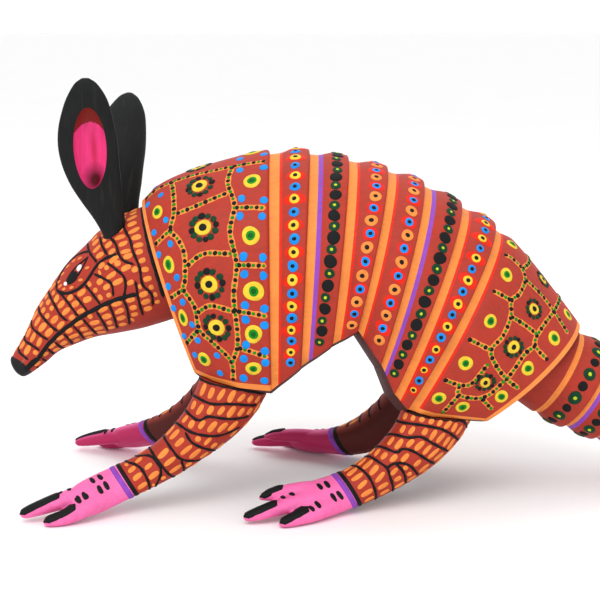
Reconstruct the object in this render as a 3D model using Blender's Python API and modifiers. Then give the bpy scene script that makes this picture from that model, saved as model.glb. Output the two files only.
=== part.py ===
"""Carved and painted wooden armadillo figure, in metres, +Z up.

The head points along -X, the tail along +X and the figure's left side along -Y.
The origin is at floor level, below the middle of the figure. Lengths in this file
are millimetres until solid() turns them into metres.
"""

import math

import bmesh
import bpy
import numpy as np
from mathutils import Matrix, Vector

MM = 0.001
GAP = 0.3  # clearance between pieces that touch
MERGE = 0.0001  # metres

# Trunk: crest of the back (x, z, half width) and lower edge of the shell (x, z).
# Stations 0-3 are the shoulder shield, 3-9 the six bands and 9-12 the hip shield.
CREST = np.array([
    (-108.6, 120.2, 29.0),
    (-100.3, 127.4, 34.0),
    (-83.5, 134.2, 38.5),
    (-56.5, 141.0, 40.5),
    (-40.0, 141.0, 41.0),
    (-24.0, 138.3, 41.0),
    (-8.0, 134.0, 40.5),
    (7.0, 128.0, 40.0),
    (22.5, 119.5, 39.0),
    (36.5, 110.5, 38.0),
    (50.0, 96.5, 35.5),
    (62.0, 81.5, 32.0),
    (71.5, 69.0, 30.0),
])
EDGE = np.array([
    (-87.0, 55.5),
    (-79.5, 53.0),
    (-68.5, 51.0),
    (-55.5, 50.0),
    (-43.5, 60.0),
    (-31.0, 69.0),
    (-21.0, 74.5),
    (-11.6, 60.5),
    (-6.0, 48.0),
    (-0.5, 41.5),
    (9.5, 38.3),
    (21.0, 36.6),
    (32.4, 35.2),
])
FIRST_BAND, LAST_BAND, LAST_STATION = 3, 8, 12
BAND_STEP = 2.2  # how far the trailing edge of a band stands over the next band
ARCH = math.radians(120)  # from the crest down to the lower edge
WAIST = 0.36  # height of the widest place, as a share of the section
BELLY_DROP = 7.5  # how far the belly hangs below the lower edge
LIP, RECESS = 0.965, 1.5  # the end faces are sunk inside a thin rim
ARCH_STEPS, BELLY_STEPS = 12, 4

# Head sections from nose to neck: top (x, z), bottom (x, z), half width.
HEAD = np.array([
    (-166.4, 52.4, -164.6, 49.2, 1.6),
    (-165.6, 56.0, -160.6, 47.2, 4.4),
    (-160.0, 65.5, -152.2, 52.8, 6.8),
    (-155.0, 76.0, -146.0, 58.0, 9.0),
    (-149.0, 85.0, -139.0, 61.2, 11.5),
    (-142.0, 95.0, -130.0, 64.5, 14.5),
    (-134.0, 103.0, -119.5, 66.5, 18.0),
    (-122.5, 113.5, -108.0, 69.0, 21.3),
    (-107.8, 120.2, -92.2, 74.0, 22.5),
])
HEAD_WAIST = 0.42

# Ear outline from root to tip: height, offset of the middle, half width, front and back.
EAR = np.array([
    (-4.0, 0.0, 4.8, 4.2, 4.2),
    (0.0, 0.0, 5.4, 4.2, 4.4),
    (6.0, -0.4, 6.2, 3.6, 5.0),
    (14.0, -3.2, 8.5, 3.0, 6.0),
    (21.0, -5.2, 10.4, 2.6, 6.8),
    (29.0, -6.8, 11.6, 2.4, 7.2),
    (37.0, -7.5, 12.0, 2.4, 7.2),
    (45.0, -7.6, 11.2, 2.4, 6.6),
    (53.0, -7.2, 9.3, 2.4, 5.2),
    (58.0, -7.0, 7.3, 2.2, 4.0),
    (62.5, -7.0, 4.4, 1.6, 2.4),
    (64.6, -7.0, 1.6, 0.6, 0.9),
])
EAR_HOLLOW = (-10.2, 34.0), (6.9, 17.5, 6.4)  # middle (across, up) and half sizes
EAR_PEG_RADIUS, EAR_PEG_LENGTH = 3.0, 13.0
# Root of each ear, and how it leans: outwards and backwards, and its size.
EAR_PLACES = {
    "ear_left": ((-121.5, -9.5, 110.0), 12.0, 0.0, 1.0),
    "ear_right": ((-119.0, 9.5, 110.0), 29.0, 7.0, 0.95),
}

# Legs from shoulder to toes: x, y, z, half size sideways, half size up, bank in degrees.
# These are the left legs; the right ones are their mirror image.
FRONT_LEG = np.array([
    (-67.0, -22.5, 66.0, 10.5, 15.5, 0.0),
    (-69.0, -23.5, 56.0, 10.5, 15.6, 0.0),
    (-73.0, -25.5, 46.0, 10.3, 14.0, 0.0),
    (-79.0, -27.5, 37.2, 9.8, 12.0, 4.0),
    (-87.0, -29.5, 29.3, 9.2, 9.8, 9.0),
    (-96.5, -31.5, 21.8, 8.6, 8.0, 16.0),
    (-105.5, -33.0, 16.4, 8.2, 6.8, 23.0),
    (-114.0, -35.5, 12.8, 8.2, 5.8, 29.0),
    (-123.0, -40.0, 9.6, 8.4, 4.8, 32.0),
    (-130.0, -44.5, 7.2, 8.0, 4.2, 32.0),
    (-135.0, -47.5, 5.6, 5.8, 3.4, 32.0),
])
REAR_LEG = np.array([
    (17.0, -21.0, 54.0, 10.0, 16.0, 0.0),
    (14.5, -22.5, 44.0, 10.3, 16.4, 0.0),
    (10.0, -25.0, 34.5, 10.2, 14.8, 0.0),
    (3.5, -27.5, 26.0, 9.8, 12.4, 4.0),
    (-5.0, -29.5, 18.6, 9.2, 10.4, 9.0),
    (-14.0, -31.5, 12.8, 8.8, 8.6, 16.0),
    (-22.5, -34.0, 9.2, 8.6, 7.0, 24.0),
    (-31.0, -38.0, 7.2, 9.0, 5.4, 28.0),
    (-40.0, -43.0, 5.8, 9.2, 4.6, 30.0),
    (-46.0, -46.0, 5.0, 6.6, 3.4, 30.0),
])
STRIDE = {"front_right_leg": 7.0}  # how far a foot stands back from its mirror image
# Toes: points from inside the palm to the tip, each x, y, z, half width, half height.
FRONT_TOES = (
    np.array([
        (-120.0, -37.5, 11.2, 4.0, 3.4), (-133.0, -43.0, 8.6, 4.4, 3.6),
        (-145.0, -47.5, 5.6, 3.8, 3.0), (-153.0, -50.2, 3.4, 2.5, 2.0),
        (-155.0, -50.9, 2.8, 1.0, 0.8),
    ]),
    np.array([
        (-118.0, -41.5, 9.0, 3.6, 3.2), (-127.5, -47.5, 6.0, 4.4, 3.6),
        (-136.5, -52.2, 2.6, 3.8, 3.0), (-142.8, -54.8, 1.5, 2.6, 2.2),
        (-145.0, -55.6, 1.2, 1.0, 0.8),
    ]),
)
REAR_TOES = (
    np.array([
        (-34.0, -36.0, 9.6, 3.6, 3.2), (-45.5, -39.5, 9.6, 3.8, 3.1),
        (-55.0, -42.3, 8.6, 3.0, 2.5), (-60.5, -44.2, 7.6, 1.0, 0.8),
    ]),
    np.array([
        (-34.0, -40.0, 8.0, 4.2, 3.4), (-47.0, -45.8, 6.2, 4.4, 3.4),
        (-58.0, -50.2, 4.0, 3.6, 2.7), (-64.5, -52.4, 2.7, 2.3, 1.8),
        (-66.4, -53.0, 2.4, 1.0, 0.8),
    ]),
    np.array([
        (-28.0, -40.5, 6.0, 4.0, 3.4), (-36.5, -47.4, 3.8, 4.6, 3.6),
        (-44.8, -52.8, 2.4, 3.8, 2.9), (-50.4, -56.2, 1.5, 2.4, 2.0),
        (-52.2, -57.2, 1.3, 1.0, 0.8),
    ]),
)

# Tail: middle line (x, z) and radius, from the root inside the hip shield to the tip.
TAIL = np.array([
    (54.4, 54.0, 18.4),
    (64.2, 49.4, 19.8),
    (76.2, 42.2, 18.6),
    (88.2, 35.4, 16.8),
    (100.2, 28.6, 14.8),
    (112.5, 22.0, 12.7),
    (125.0, 16.0, 10.7),
    (137.5, 11.0, 8.7),
    (149.0, 6.7, 6.9),
    (158.5, 4.3, 5.2),
    (165.7, 2.5, 3.0),
])
TAIL_STEP = 2.0
TAIL_PEG_RADIUS, TAIL_PEG_LENGTH = 6.0, 20.0  # level, so the tail pulls straight out

DOWEL_RADIUS = 4.0
NECK_DOWEL_RADIUS = 5.0
FRONT_DOWEL = (-72.5, -25.0, 44.0), (-67.0, -22.0, 68.0)
REAR_DOWEL = (8.5, -24.5, 33.0), (14.5, -21.5, 56.0)
NECK_DOWEL_REACH = 14.0, 16.0  # into the head, into the trunk

TERRACOTTA = (0.47, 0.065, 0.042)
BLACK = (0.02, 0.02, 0.021)
BARE_WOOD = (0.62, 0.45, 0.27)


def smooth(t):
    t = min(max(t, 0.0), 1.0)
    return t * t * (3 - 2 * t)


def spline(rows, s):
    """The row at station s, on a smooth curve through all rows."""
    i = min(int(s), len(rows) - 2)
    t = s - i
    p1, p2 = rows[i], rows[i + 1]
    p0 = rows[i - 1] if i else 2 * p1 - p2
    p3 = rows[i + 2] if i + 2 < len(rows) else 2 * p2 - p1
    return 0.5 * (
        2 * p1 + (p2 - p0) * t + (2 * p0 - 5 * p1 + 4 * p2 - p3) * t**2
        + (3 * p1 - p0 - 3 * p2 + p3) * t**3
    )


def straight(rows, s):
    i = min(int(s), len(rows) - 2)
    return rows[i] + (rows[i + 1] - rows[i]) * (s - i)


# ---------------------------------------------------------------- mesh helpers


def collection(name):
    made = bpy.data.collections.new(name)
    bpy.context.scene.collection.children.link(made)
    return made


def material(name, colour, roughness):
    made = bpy.data.materials.new(name)
    made.use_nodes = True
    shader = made.node_tree.nodes["Principled BSDF"]
    shader.inputs["Base Color"].default_value = (*colour, 1.0)
    shader.inputs["Roughness"].default_value = roughness
    shader.inputs["Metallic"].default_value = 0.0
    return made


def signed_volume(points, faces):
    """Negative when the faces point inwards. A half open at y = 0 counts as closed."""
    total = 0.0
    for face in faces:
        a = Vector(points[face[0]])
        for j, k in zip(face[1:-1], face[2:]):
            total += a.dot(Vector(points[j]).cross(Vector(points[k])))
    return total


def solid(name, home, points, faces, look=None):
    """A mesh object from points in millimetres, with its faces pointing out."""
    if signed_volume(points, faces) < 0:
        faces = [face[::-1] for face in faces]
    mesh = bpy.data.meshes.new(name)
    mesh.from_pydata([Vector(p) * MM for p in points], [], faces)
    mesh.shade_smooth()
    mesh.set_sharp_from_angle(angle=math.radians(40))
    if look:
        mesh.materials.append(look)
    obj = bpy.data.objects.new(name, mesh)
    home.objects.link(obj)
    return obj


def helper(obj):
    """Marks a cutter or a guide, which isn't a piece of the figure."""
    obj.hide_render = True
    obj.display_type = "WIRE"
    return obj


def loft(name, home, rings, look=None, around=True):
    """Skins rings of equal length, and caps both ends."""
    count = len(rings[0])
    points = [p for ring in rings for p in ring]
    faces = []
    for i in range(len(rings) - 1):
        for j in range(count if around else count - 1):
            k = (j + 1) % count
            a, b = i * count, (i + 1) * count
            faces.append((a + j, b + j, b + k, a + k))
    faces.append(tuple(range(count)))
    faces.append(tuple(range((len(rings) - 1) * count, len(rings) * count))[::-1])
    return solid(name, home, points, faces, look)


def mirrored(obj):
    """Completes a half that is open at the middle plane."""
    mirror = obj.modifiers.new("Both sides", "MIRROR")
    mirror.use_axis = (False, True, False)
    mirror.use_mirror_merge = True
    mirror.merge_threshold = MERGE
    return obj


def boolean(obj, other, operation):
    step = obj.modifiers.new(f"{operation.title()} {other.name}", "BOOLEAN")
    step.operation = operation
    step.solver = "EXACT"
    step.object = other


def rod(name, home, start, end, radius, look=None, sides=20):
    """A round rod between two points, from a cylinder primitive."""
    start, end = Vector(start), Vector(end)
    build = bmesh.new()
    bmesh.ops.create_cone(
        build, cap_ends=True, segments=sides, radius1=radius * MM, radius2=radius * MM,
        depth=(end - start).length * MM,
    )
    mesh = bpy.data.meshes.new(name)
    build.to_mesh(mesh)
    build.free()
    mesh.shade_smooth()
    mesh.set_sharp_from_angle(angle=math.radians(40))
    if look:
        mesh.materials.append(look)
    obj = bpy.data.objects.new(name, mesh)
    obj.rotation_mode = "QUATERNION"
    obj.rotation_quaternion = (end - start).to_track_quat("Z", "Y")
    obj.location = (start + end) / 2 * MM
    home.objects.link(obj)
    return obj


# ----------------------------------------------------------------------- trunk


def lift_at(s):
    """How far the shell stands over its base surface at station s."""
    if s <= FIRST_BAND:
        return BAND_STEP
    if s >= LAST_BAND + 1:
        return BAND_STEP * smooth((s - LAST_BAND - 1.12) / 0.4)
    t = s - int(s)
    return BAND_STEP * smooth((t - 0.15) / 0.5)


def section(s, grow):
    """Half of the trunk's section at station s: crest, left flank, belly."""
    crest_x, crest_z, width = spline(CREST, s)
    edge = straight(EDGE, s)
    up = np.array((crest_x, crest_z)) - edge
    height = np.linalg.norm(up)
    up /= height
    lift = lift_at(s) + grow
    waist = WAIST * height
    ring = []
    for step in range(ARCH_STEPS + 1):
        turn = ARCH * step / ARCH_STEPS
        reach = height - waist + lift if turn < math.pi / 2 else 2 * waist
        x, z = edge + up * (waist + reach * math.cos(turn))
        ring.append((x, -(width + lift) * math.sin(turn), z))
    rim = -ring[-1][1]
    for step in range(BELLY_STEPS + 1):
        across = 0.94 * (1 - step / BELLY_STEPS)
        x, z = edge - up * (BELLY_DROP * (1 - across**2) + grow)
        ring.append((x, -rim * across, z))
    return np.array(ring), up


def trunk_stations():
    stations = [0.0, 0.4, 0.8, 1.4, 2.0, 2.6, 2.985]
    for band in range(FIRST_BAND, LAST_BAND + 1):
        stations += [band + t for t in (0.0, 0.2, 0.42, 0.7, 0.985)]
    return stations + [9.0, 9.14, 9.34, 9.6, 10.1, 10.6, 11.1, 11.6, 12.0]


def sunk_end(ring, normal):
    """Rings that step from a rim down to a slightly sunk end face."""
    middle = np.array((ring[:, 0].mean(), 0.0, ring[:, 2].mean()))
    inner = middle + (ring - middle) * LIP
    return [inner, inner + np.array((normal[0], 0.0, normal[1])) * RECESS]


def trunk_half(name, home, grow, look=None):
    rings = []
    for s in trunk_stations():
        ring, up = section(s, grow)
        rings.append(ring)
        if s == 0.0 and not grow:
            rings = sunk_end(ring, (up[1], -up[0]))[::-1] + rings
        if s == LAST_STATION and not grow:
            rings += sunk_end(ring, (-up[1], up[0]))
    return mirrored(loft(name, home, rings, look, around=False))


# ------------------------------------------------------------------------ head


def head_section(s, grow, steps=12):
    top_x, top_z, low_x, low_z, width = spline(HEAD, s)
    top, low = np.array((top_x, top_z)), np.array((low_x, low_z))
    height = np.linalg.norm(top - low)
    up = (top - low) / height
    waist = HEAD_WAIST * height
    ring = []
    for step in range(steps + 1):
        turn = math.pi * step / steps
        reach = height - waist if turn < math.pi / 2 else waist
        x, z = low + up * (waist + (reach + grow) * math.cos(turn))
        ring.append((x, -(width + grow) * math.sin(turn), z))
    return np.array(ring)


def head_half(name, home, grow, look=None):
    stations = [0.0, 0.35] + [1 + 0.5 * k for k in range(15)]
    rings = [head_section(s, grow) for s in stations]
    return mirrored(loft(name, home, rings, look, around=False))


# ------------------------------------------------------------------------ ears


def ear_frame(place, side):
    root, splay, back, size = place
    turn = Matrix.Rotation(math.radians(back), 4, "Y")
    turn = Matrix.Rotation(math.radians(-side * splay), 4, "X") @ turn
    mirror = Matrix.Diagonal((1.0, -side, 1.0, 1.0))
    return Matrix.Translation(root) @ turn @ mirror @ Matrix.Scale(size, 4)


def ear_ring(row, frame, sides=20):
    up, middle, wide, front, back = row
    ring = []
    for k in range(sides):
        turn = 2 * math.pi * k / sides
        depth = -front if math.sin(turn) > 0 else back
        bulge = abs(math.sin(turn)) ** (0.7 if depth < 0 else 1.0)
        ring.append(frame @ Vector((middle + wide * math.cos(turn), depth * bulge, up)))
    return ring


def ear(name, pieces, cutters, head_space, look):
    side = -1 if name == "ear_left" else 1
    frame = ear_frame(EAR_PLACES[name], side)
    rings = [ear_ring(spline(EAR, 0.75 * k), frame) for k in range(14)]
    rings.append(ear_ring(EAR[-1], frame))
    leaf = loft(name, pieces, rings, look)
    (across, up), (wide, tall, deep) = EAR_HOLLOW
    build = bmesh.new()
    bmesh.ops.create_uvsphere(build, u_segments=20, v_segments=12, radius=MM)
    mesh = bpy.data.meshes.new(name + "_hollow")
    shape = Matrix.Translation((across, -EAR[6][3], up)) @ Matrix.Diagonal((wide, deep, tall, 1.0))
    place = frame @ shape
    place.translation *= MM
    bmesh.ops.transform(build, matrix=place, verts=build.verts)
    bmesh.ops.recalc_face_normals(build, faces=build.faces)
    build.to_mesh(mesh)
    build.free()
    hollow = helper(bpy.data.objects.new(name + "_hollow", mesh))
    cutters.objects.link(hollow)
    boolean(leaf, hollow, "DIFFERENCE")
    boolean(leaf, head_space, "DIFFERENCE")
    peg = rod(
        name + "_peg", cutters, frame @ Vector((0, 0, -EAR_PEG_LENGTH)),
        frame @ Vector((0, 0, 8.0)), EAR_PEG_RADIUS, sides=16,
    )
    boolean(leaf, helper(peg), "UNION")
    socket = rod(
        name + "_socket", cutters, frame @ Vector((0, 0, -EAR_PEG_LENGTH - 1.0)),
        frame @ Vector((0, 0, 12.0)), EAR_PEG_RADIUS + GAP, sides=16,
    )
    return helper(socket)


# ------------------------------------------------------------------------ legs


def limb_rings(rows, stations, sides, side):
    """Banked oval rings across a smooth path, flat on the floor; side mirrors them."""
    rings = []
    for s in stations:
        row = spline(rows, s)
        ahead = spline(rows, min(s + 0.05, len(rows) - 1))
        behind = spline(rows, max(s - 0.05, 0))
        along = Vector(ahead[:3] - behind[:3]).normalized()
        out = -along.cross(Vector((0, 0, 1))).normalized()
        rise = out.cross(along).normalized()
        if rise.z < 0:
            rise = -rise
        bank = math.radians(row[5]) if len(row) > 5 else 0.0
        wide = out * math.cos(bank) - rise * math.sin(bank)
        tall = rise * math.cos(bank) + out * math.sin(bank)
        ring = []
        for k in range(sides):
            turn = 2 * math.pi * k / sides
            p = Vector(row[:3]) + wide * row[3] * math.cos(turn) + tall * row[4] * math.sin(turn)
            ring.append((p.x, -side * p.y, max(p.z, 0.0)))
        rings.append(ring)
    return rings


def strode(rows, stride, share):
    """The rows with their feet moved back; share is how much of the stride each row takes."""
    moved = rows.copy()
    moved[:, 0] += stride * share
    return moved


def leg(name, rows, toes, side, pieces, cutters, trunk_space, look):
    stride = STRIDE.get(name, 0.0)
    rows = strode(rows, stride, np.linspace(0.0, 1.0, len(rows)))
    toes = [strode(toe, stride, 1.0) for toe in toes]
    stations = [k * 0.6 for k in range(int((len(rows) - 1) / 0.6) + 1)] + [len(rows) - 1]
    shank = loft(name, pieces, limb_rings(rows, stations, 18, side), look)
    for number, toe_rows in enumerate(toes):
        steps = [k * 0.5 for k in range(2 * len(toe_rows) - 1)]
        toe = loft(f"{name}_toe_{number}", cutters, limb_rings(toe_rows, steps, 12, side))
        boolean(shank, helper(toe), "UNION")
    boolean(shank, trunk_space, "DIFFERENCE")
    return shank


# ------------------------------------------------------------------------ tail


def hip_face():
    """The sunk face that the tail stands on: a point, the way up and the way out."""
    crest, edge = CREST[-1][:2], EDGE[-1]
    up = (crest - edge) / np.linalg.norm(crest - edge)
    out = np.array((up[1], -up[0]))
    return crest - out * RECESS, up, out


def tail_ring(s, steps=10):
    """Half ring of the tail, from top to bottom round the left side, flat on the floor."""
    x, z, radius = spline(TAIL, s)
    ahead = spline(TAIL, min(s + 0.05, len(TAIL) - 1))
    behind = spline(TAIL, max(s - 0.05, 0))
    along = (ahead - behind)[:2]
    if s == 0:
        face, up, out = hip_face()
        x, z = (x, z) + out * (GAP - np.dot((x, z) - face, out))
    else:
        along /= np.linalg.norm(along)
        up = np.array((-along[1], along[0]))
    t = s - int(s)
    ribbed = 1 <= s < len(TAIL) - 1.01
    lift = TAIL_STEP * (smooth(t / 0.6) - 0.5) * radius / TAIL[0][2] if ribbed else 0.0
    ring = []
    for step in range(steps + 1):
        turn = math.pi * step / steps
        px, pz = np.array((x, z)) + up * (radius + lift) * math.cos(turn)
        ring.append((px, -(radius + lift) * math.sin(turn), max(pz, 0.0)))
    return ring


def tail(pieces, cutters, look):
    stations = [0.0, 0.985]
    for ring in range(1, len(TAIL) - 1):
        stations += [ring + t for t in (0.0, 0.3, 0.6, 0.985)]
    stations.append(len(TAIL) - 1)
    whole = mirrored(loft("tail", pieces, [tail_ring(s) for s in stations], look, around=False))
    root = Vector((TAIL[0][0], 0.0, TAIL[0][1]))
    slide = Vector((1.0, 0.0, 0.0))
    peg = rod("tail_peg", cutters, root - slide * TAIL_PEG_LENGTH, root + slide * 6, TAIL_PEG_RADIUS)
    boolean(whole, helper(peg), "UNION")
    socket = rod(
        "tail_socket", cutters, root - slide * (TAIL_PEG_LENGTH + 1), root + slide * 12,
        TAIL_PEG_RADIUS + GAP,
    )
    return helper(socket)


# -------------------------------------------------------------------- assembly


def neck_line():
    """Ends of the neck dowel, square to the joint between head and trunk."""
    end = HEAD[-1]
    middle = np.array(((end[0] + end[2]) / 2, 0.0, (end[1] + end[3]) / 2))
    up = CREST[0][:2] - EDGE[0]
    up /= np.linalg.norm(up)
    inward = np.array((up[1], 0.0, -up[0]))
    return middle - inward * NECK_DOWEL_REACH[0], middle + inward * NECK_DOWEL_REACH[1]


def dowel(name, start, end, radius, pieces, cutters, hosts, look):
    """A dowel, and its bore in the two pieces that it joins."""
    start, end = Vector(start), Vector(end)
    reach = (end - start).normalized()
    rod(name, pieces, start, end, radius, look)
    bore = rod(name + "_bore", cutters, start - reach * GAP, end + reach * GAP, radius + GAP)
    for host in hosts:
        boolean(host, helper(bore), "DIFFERENCE")


def build():
    for obj in list(bpy.data.objects):
        bpy.data.objects.remove(obj)
    pieces = collection("armadillo_figure")
    cutters = collection("cutters")
    paint = material("painted_wood", TERRACOTTA, 0.55)
    black = material("black_paint", BLACK, 0.6)
    wood = material("bare_wood", BARE_WOOD, 0.75)

    trunk = trunk_half("trunk", pieces, 0.0, paint)
    trunk_space = helper(trunk_half("trunk_space", cutters, GAP))
    head = head_half("head", pieces, 0.0, paint)
    head_space = helper(head_half("head_space", cutters, GAP))
    boolean(trunk, tail(pieces, cutters, paint), "DIFFERENCE")
    dowel("neck_dowel", *neck_line(), NECK_DOWEL_RADIUS, pieces, cutters, (head, trunk), wood)
    for name in EAR_PLACES:
        boolean(head, ear(name, pieces, cutters, head_space, black), "DIFFERENCE")

    pairs = (
        ("front", FRONT_LEG, FRONT_TOES, FRONT_DOWEL),
        ("rear", REAR_LEG, REAR_TOES, REAR_DOWEL),
    )
    for where, rows, toes, ends in pairs:
        for word, side in (("left", -1), ("right", 1)):
            name = f"{where}_{word}_leg"
            made = leg(name, rows, toes, side, pieces, cutters, trunk_space, paint)
            start, end = [(x, -side * y, z) for x, y, z in ends]
            dowel(
                f"{where}_{word}_dowel", start, end, DOWEL_RADIUS, pieces, cutters,
                (made, trunk), wood,
            )


build()
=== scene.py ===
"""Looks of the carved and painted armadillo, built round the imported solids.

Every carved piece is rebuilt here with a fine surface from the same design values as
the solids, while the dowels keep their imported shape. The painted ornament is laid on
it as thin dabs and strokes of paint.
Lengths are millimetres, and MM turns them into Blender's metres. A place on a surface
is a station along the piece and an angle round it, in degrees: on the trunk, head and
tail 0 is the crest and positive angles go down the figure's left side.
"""

import math
import random

import bmesh
import bpy
import numpy as np
from mathutils import Matrix, Vector
from mathutils.bvhtree import BVHTree


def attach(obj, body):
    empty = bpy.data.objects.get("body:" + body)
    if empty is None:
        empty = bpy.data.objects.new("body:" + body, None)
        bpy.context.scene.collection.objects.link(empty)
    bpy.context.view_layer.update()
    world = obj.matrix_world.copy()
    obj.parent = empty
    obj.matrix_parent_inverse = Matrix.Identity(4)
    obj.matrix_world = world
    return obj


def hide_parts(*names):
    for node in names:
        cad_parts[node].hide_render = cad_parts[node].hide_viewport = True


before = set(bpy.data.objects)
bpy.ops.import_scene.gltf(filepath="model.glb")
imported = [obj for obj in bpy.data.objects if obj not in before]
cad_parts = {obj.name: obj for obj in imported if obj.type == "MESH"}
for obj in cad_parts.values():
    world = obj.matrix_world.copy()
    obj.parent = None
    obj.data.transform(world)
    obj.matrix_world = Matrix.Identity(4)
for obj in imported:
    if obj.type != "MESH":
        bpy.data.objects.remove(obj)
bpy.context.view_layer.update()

MM = 0.001
LEFT, RIGHT = -1, 1
hand = random.Random(7)  # the small unevenness of handwork

# ------------------------------------------------------------- carved shape values

CREST = np.array([
    (-108.6, 120.2, 29.0), (-100.3, 127.4, 34.0), (-83.5, 134.2, 38.5),
    (-56.5, 141.0, 40.5), (-40.0, 141.0, 41.0), (-24.0, 138.3, 41.0),
    (-8.0, 134.0, 40.5), (7.0, 128.0, 40.0), (22.5, 119.5, 39.0),
    (36.5, 110.5, 38.0), (50.0, 96.5, 35.5), (62.0, 81.5, 32.0), (71.5, 69.0, 30.0),
])
EDGE = np.array([
    (-87.0, 55.5), (-79.5, 53.0), (-68.5, 51.0), (-55.5, 50.0), (-43.5, 60.0),
    (-31.0, 69.0), (-21.0, 74.5), (-11.6, 60.5), (-6.0, 48.0), (-0.5, 41.5),
    (9.5, 38.3), (21.0, 36.6), (32.4, 35.2),
])
SHIELD_END, HIP_START, TRUNK_END = 3, 9, 12
BAND_STEP = 2.2
ARCH = 120  # degrees from the crest to the lower edge; from there to 180 is belly
WAIST = 0.36
BELLY_DROP = 7.5
LIP, RECESS = 0.965, 1.5
ROUNDED = 0.93  # share of a band after which its trailing edge rounds off

HEAD = np.array([
    (-166.4, 52.4, -164.6, 49.2, 1.6), (-165.6, 56.0, -160.6, 47.2, 4.4),
    (-160.0, 65.5, -152.2, 52.8, 6.8), (-155.0, 76.0, -146.0, 58.0, 9.0),
    (-149.0, 85.0, -139.0, 61.2, 11.5), (-142.0, 95.0, -130.0, 64.5, 14.5),
    (-134.0, 103.0, -119.5, 66.5, 18.0), (-122.5, 113.5, -108.0, 69.0, 21.3),
    (-107.8, 120.2, -92.2, 74.0, 22.5),
])
HEAD_WAIST = 0.42

EAR = np.array([
    (-5.0, 0.5, 3.3, 3.3, 3.3), (-0.5, 0.5, 4.0, 3.5, 3.8), (6.0, -0.4, 6.2, 3.6, 5.0),
    (14.0, -3.2, 8.5, 3.0, 6.0), (21.0, -5.2, 10.4, 2.6, 6.8),
    (29.0, -6.8, 11.6, 2.4, 7.2), (37.0, -7.5, 12.0, 2.4, 7.2),
    (45.0, -7.6, 11.2, 2.4, 6.6), (53.0, -7.2, 9.3, 2.4, 5.2),
    (58.0, -7.0, 7.3, 2.2, 4.0), (62.5, -7.0, 4.4, 1.6, 2.4), (64.6, -7.0, 1.6, 0.6, 0.9),
])
EAR_HOLLOW = (-6.4, -2.4, 36.6), (6.6, 6.4, 16.8)  # middle and half sizes
EAR_PEG_RADIUS, EAR_PEG_LENGTH = 3.0, 13.0
EARS = {  # root, lean outwards, lean backwards, size, side, body
    "ear_left": ((-121.5, -9.5, 110.0), 12.0, 0.0, 1.0, LEFT, "left_ear"),
    "ear_right": ((-119.0, 9.5, 110.0), 29.0, 7.0, 0.95, RIGHT, "right_ear"),
}

# Legs: x, y, z, half size sideways, half size up, bank in degrees, for the left side.
FRONT_LEG = np.array([
    (-67.0, -22.5, 66.0, 10.5, 15.5, 0.0), (-69.0, -23.5, 56.0, 10.5, 15.6, 0.0),
    (-73.0, -25.5, 46.0, 10.3, 14.0, 0.0), (-79.0, -27.5, 37.2, 9.8, 12.0, 4.0),
    (-87.0, -29.5, 29.3, 9.2, 9.8, 9.0), (-96.5, -31.5, 21.8, 8.6, 8.0, 16.0),
    (-105.5, -33.0, 16.4, 8.2, 6.8, 23.0), (-114.0, -35.5, 12.8, 8.2, 5.8, 29.0),
    (-123.0, -40.0, 9.6, 8.4, 4.8, 32.0), (-130.0, -44.5, 7.2, 8.0, 4.2, 32.0),
    (-135.0, -47.5, 5.6, 5.8, 3.4, 32.0),
])
REAR_LEG = np.array([
    (17.0, -21.0, 54.0, 10.0, 16.0, 0.0), (14.5, -22.5, 44.0, 10.3, 16.4, 0.0),
    (10.0, -25.0, 34.5, 10.2, 14.8, 0.0), (3.5, -27.5, 26.0, 9.8, 12.4, 4.0),
    (-5.0, -29.5, 18.6, 9.2, 10.4, 9.0), (-14.0, -31.5, 12.8, 8.8, 8.6, 16.0),
    (-22.5, -34.0, 9.2, 8.6, 7.0, 24.0), (-31.0, -38.0, 7.2, 9.0, 5.4, 28.0),
    (-40.0, -43.0, 5.8, 9.2, 4.6, 30.0), (-46.0, -46.0, 5.0, 6.6, 3.4, 30.0),
])
# Toes: x, y, z, half width, half height, from inside the palm to the tip.
FRONT_TOES = (
    np.array([
        (-120.0, -37.5, 11.2, 4.0, 3.4), (-133.0, -43.0, 8.6, 4.4, 3.6),
        (-145.0, -47.5, 5.6, 3.8, 3.0), (-153.0, -50.2, 3.4, 2.5, 2.0),
        (-155.0, -50.9, 2.8, 1.0, 0.8),
    ]),
    np.array([
        (-118.0, -41.5, 9.0, 3.6, 3.2), (-127.5, -47.5, 6.0, 4.4, 3.6),
        (-136.5, -52.2, 2.6, 3.8, 3.0), (-142.8, -54.8, 1.5, 2.6, 2.2),
        (-145.0, -55.6, 1.2, 1.0, 0.8),
    ]),
)
REAR_TOES = (
    np.array([
        (-34.0, -36.0, 9.6, 3.6, 3.2), (-45.5, -39.5, 9.6, 3.8, 3.1),
        (-55.0, -42.3, 8.6, 3.0, 2.5), (-60.5, -44.2, 7.6, 1.0, 0.8),
    ]),
    np.array([
        (-34.0, -40.0, 8.0, 4.2, 3.4), (-47.0, -45.8, 6.2, 4.4, 3.4),
        (-58.0, -50.2, 4.0, 3.6, 2.7), (-64.5, -52.4, 2.7, 2.3, 1.8),
        (-66.4, -53.0, 2.4, 1.0, 0.8),
    ]),
    np.array([
        (-28.0, -40.5, 6.0, 4.0, 3.4), (-36.5, -47.4, 3.8, 4.6, 3.6),
        (-44.8, -52.8, 2.4, 3.8, 2.9), (-50.4, -56.2, 1.5, 2.4, 2.0),
        (-52.2, -57.2, 1.3, 1.0, 0.8),
    ]),
)
STRIDE = {"front_right_leg": 7.0}  # how far a foot stands back from its mirror image

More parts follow.
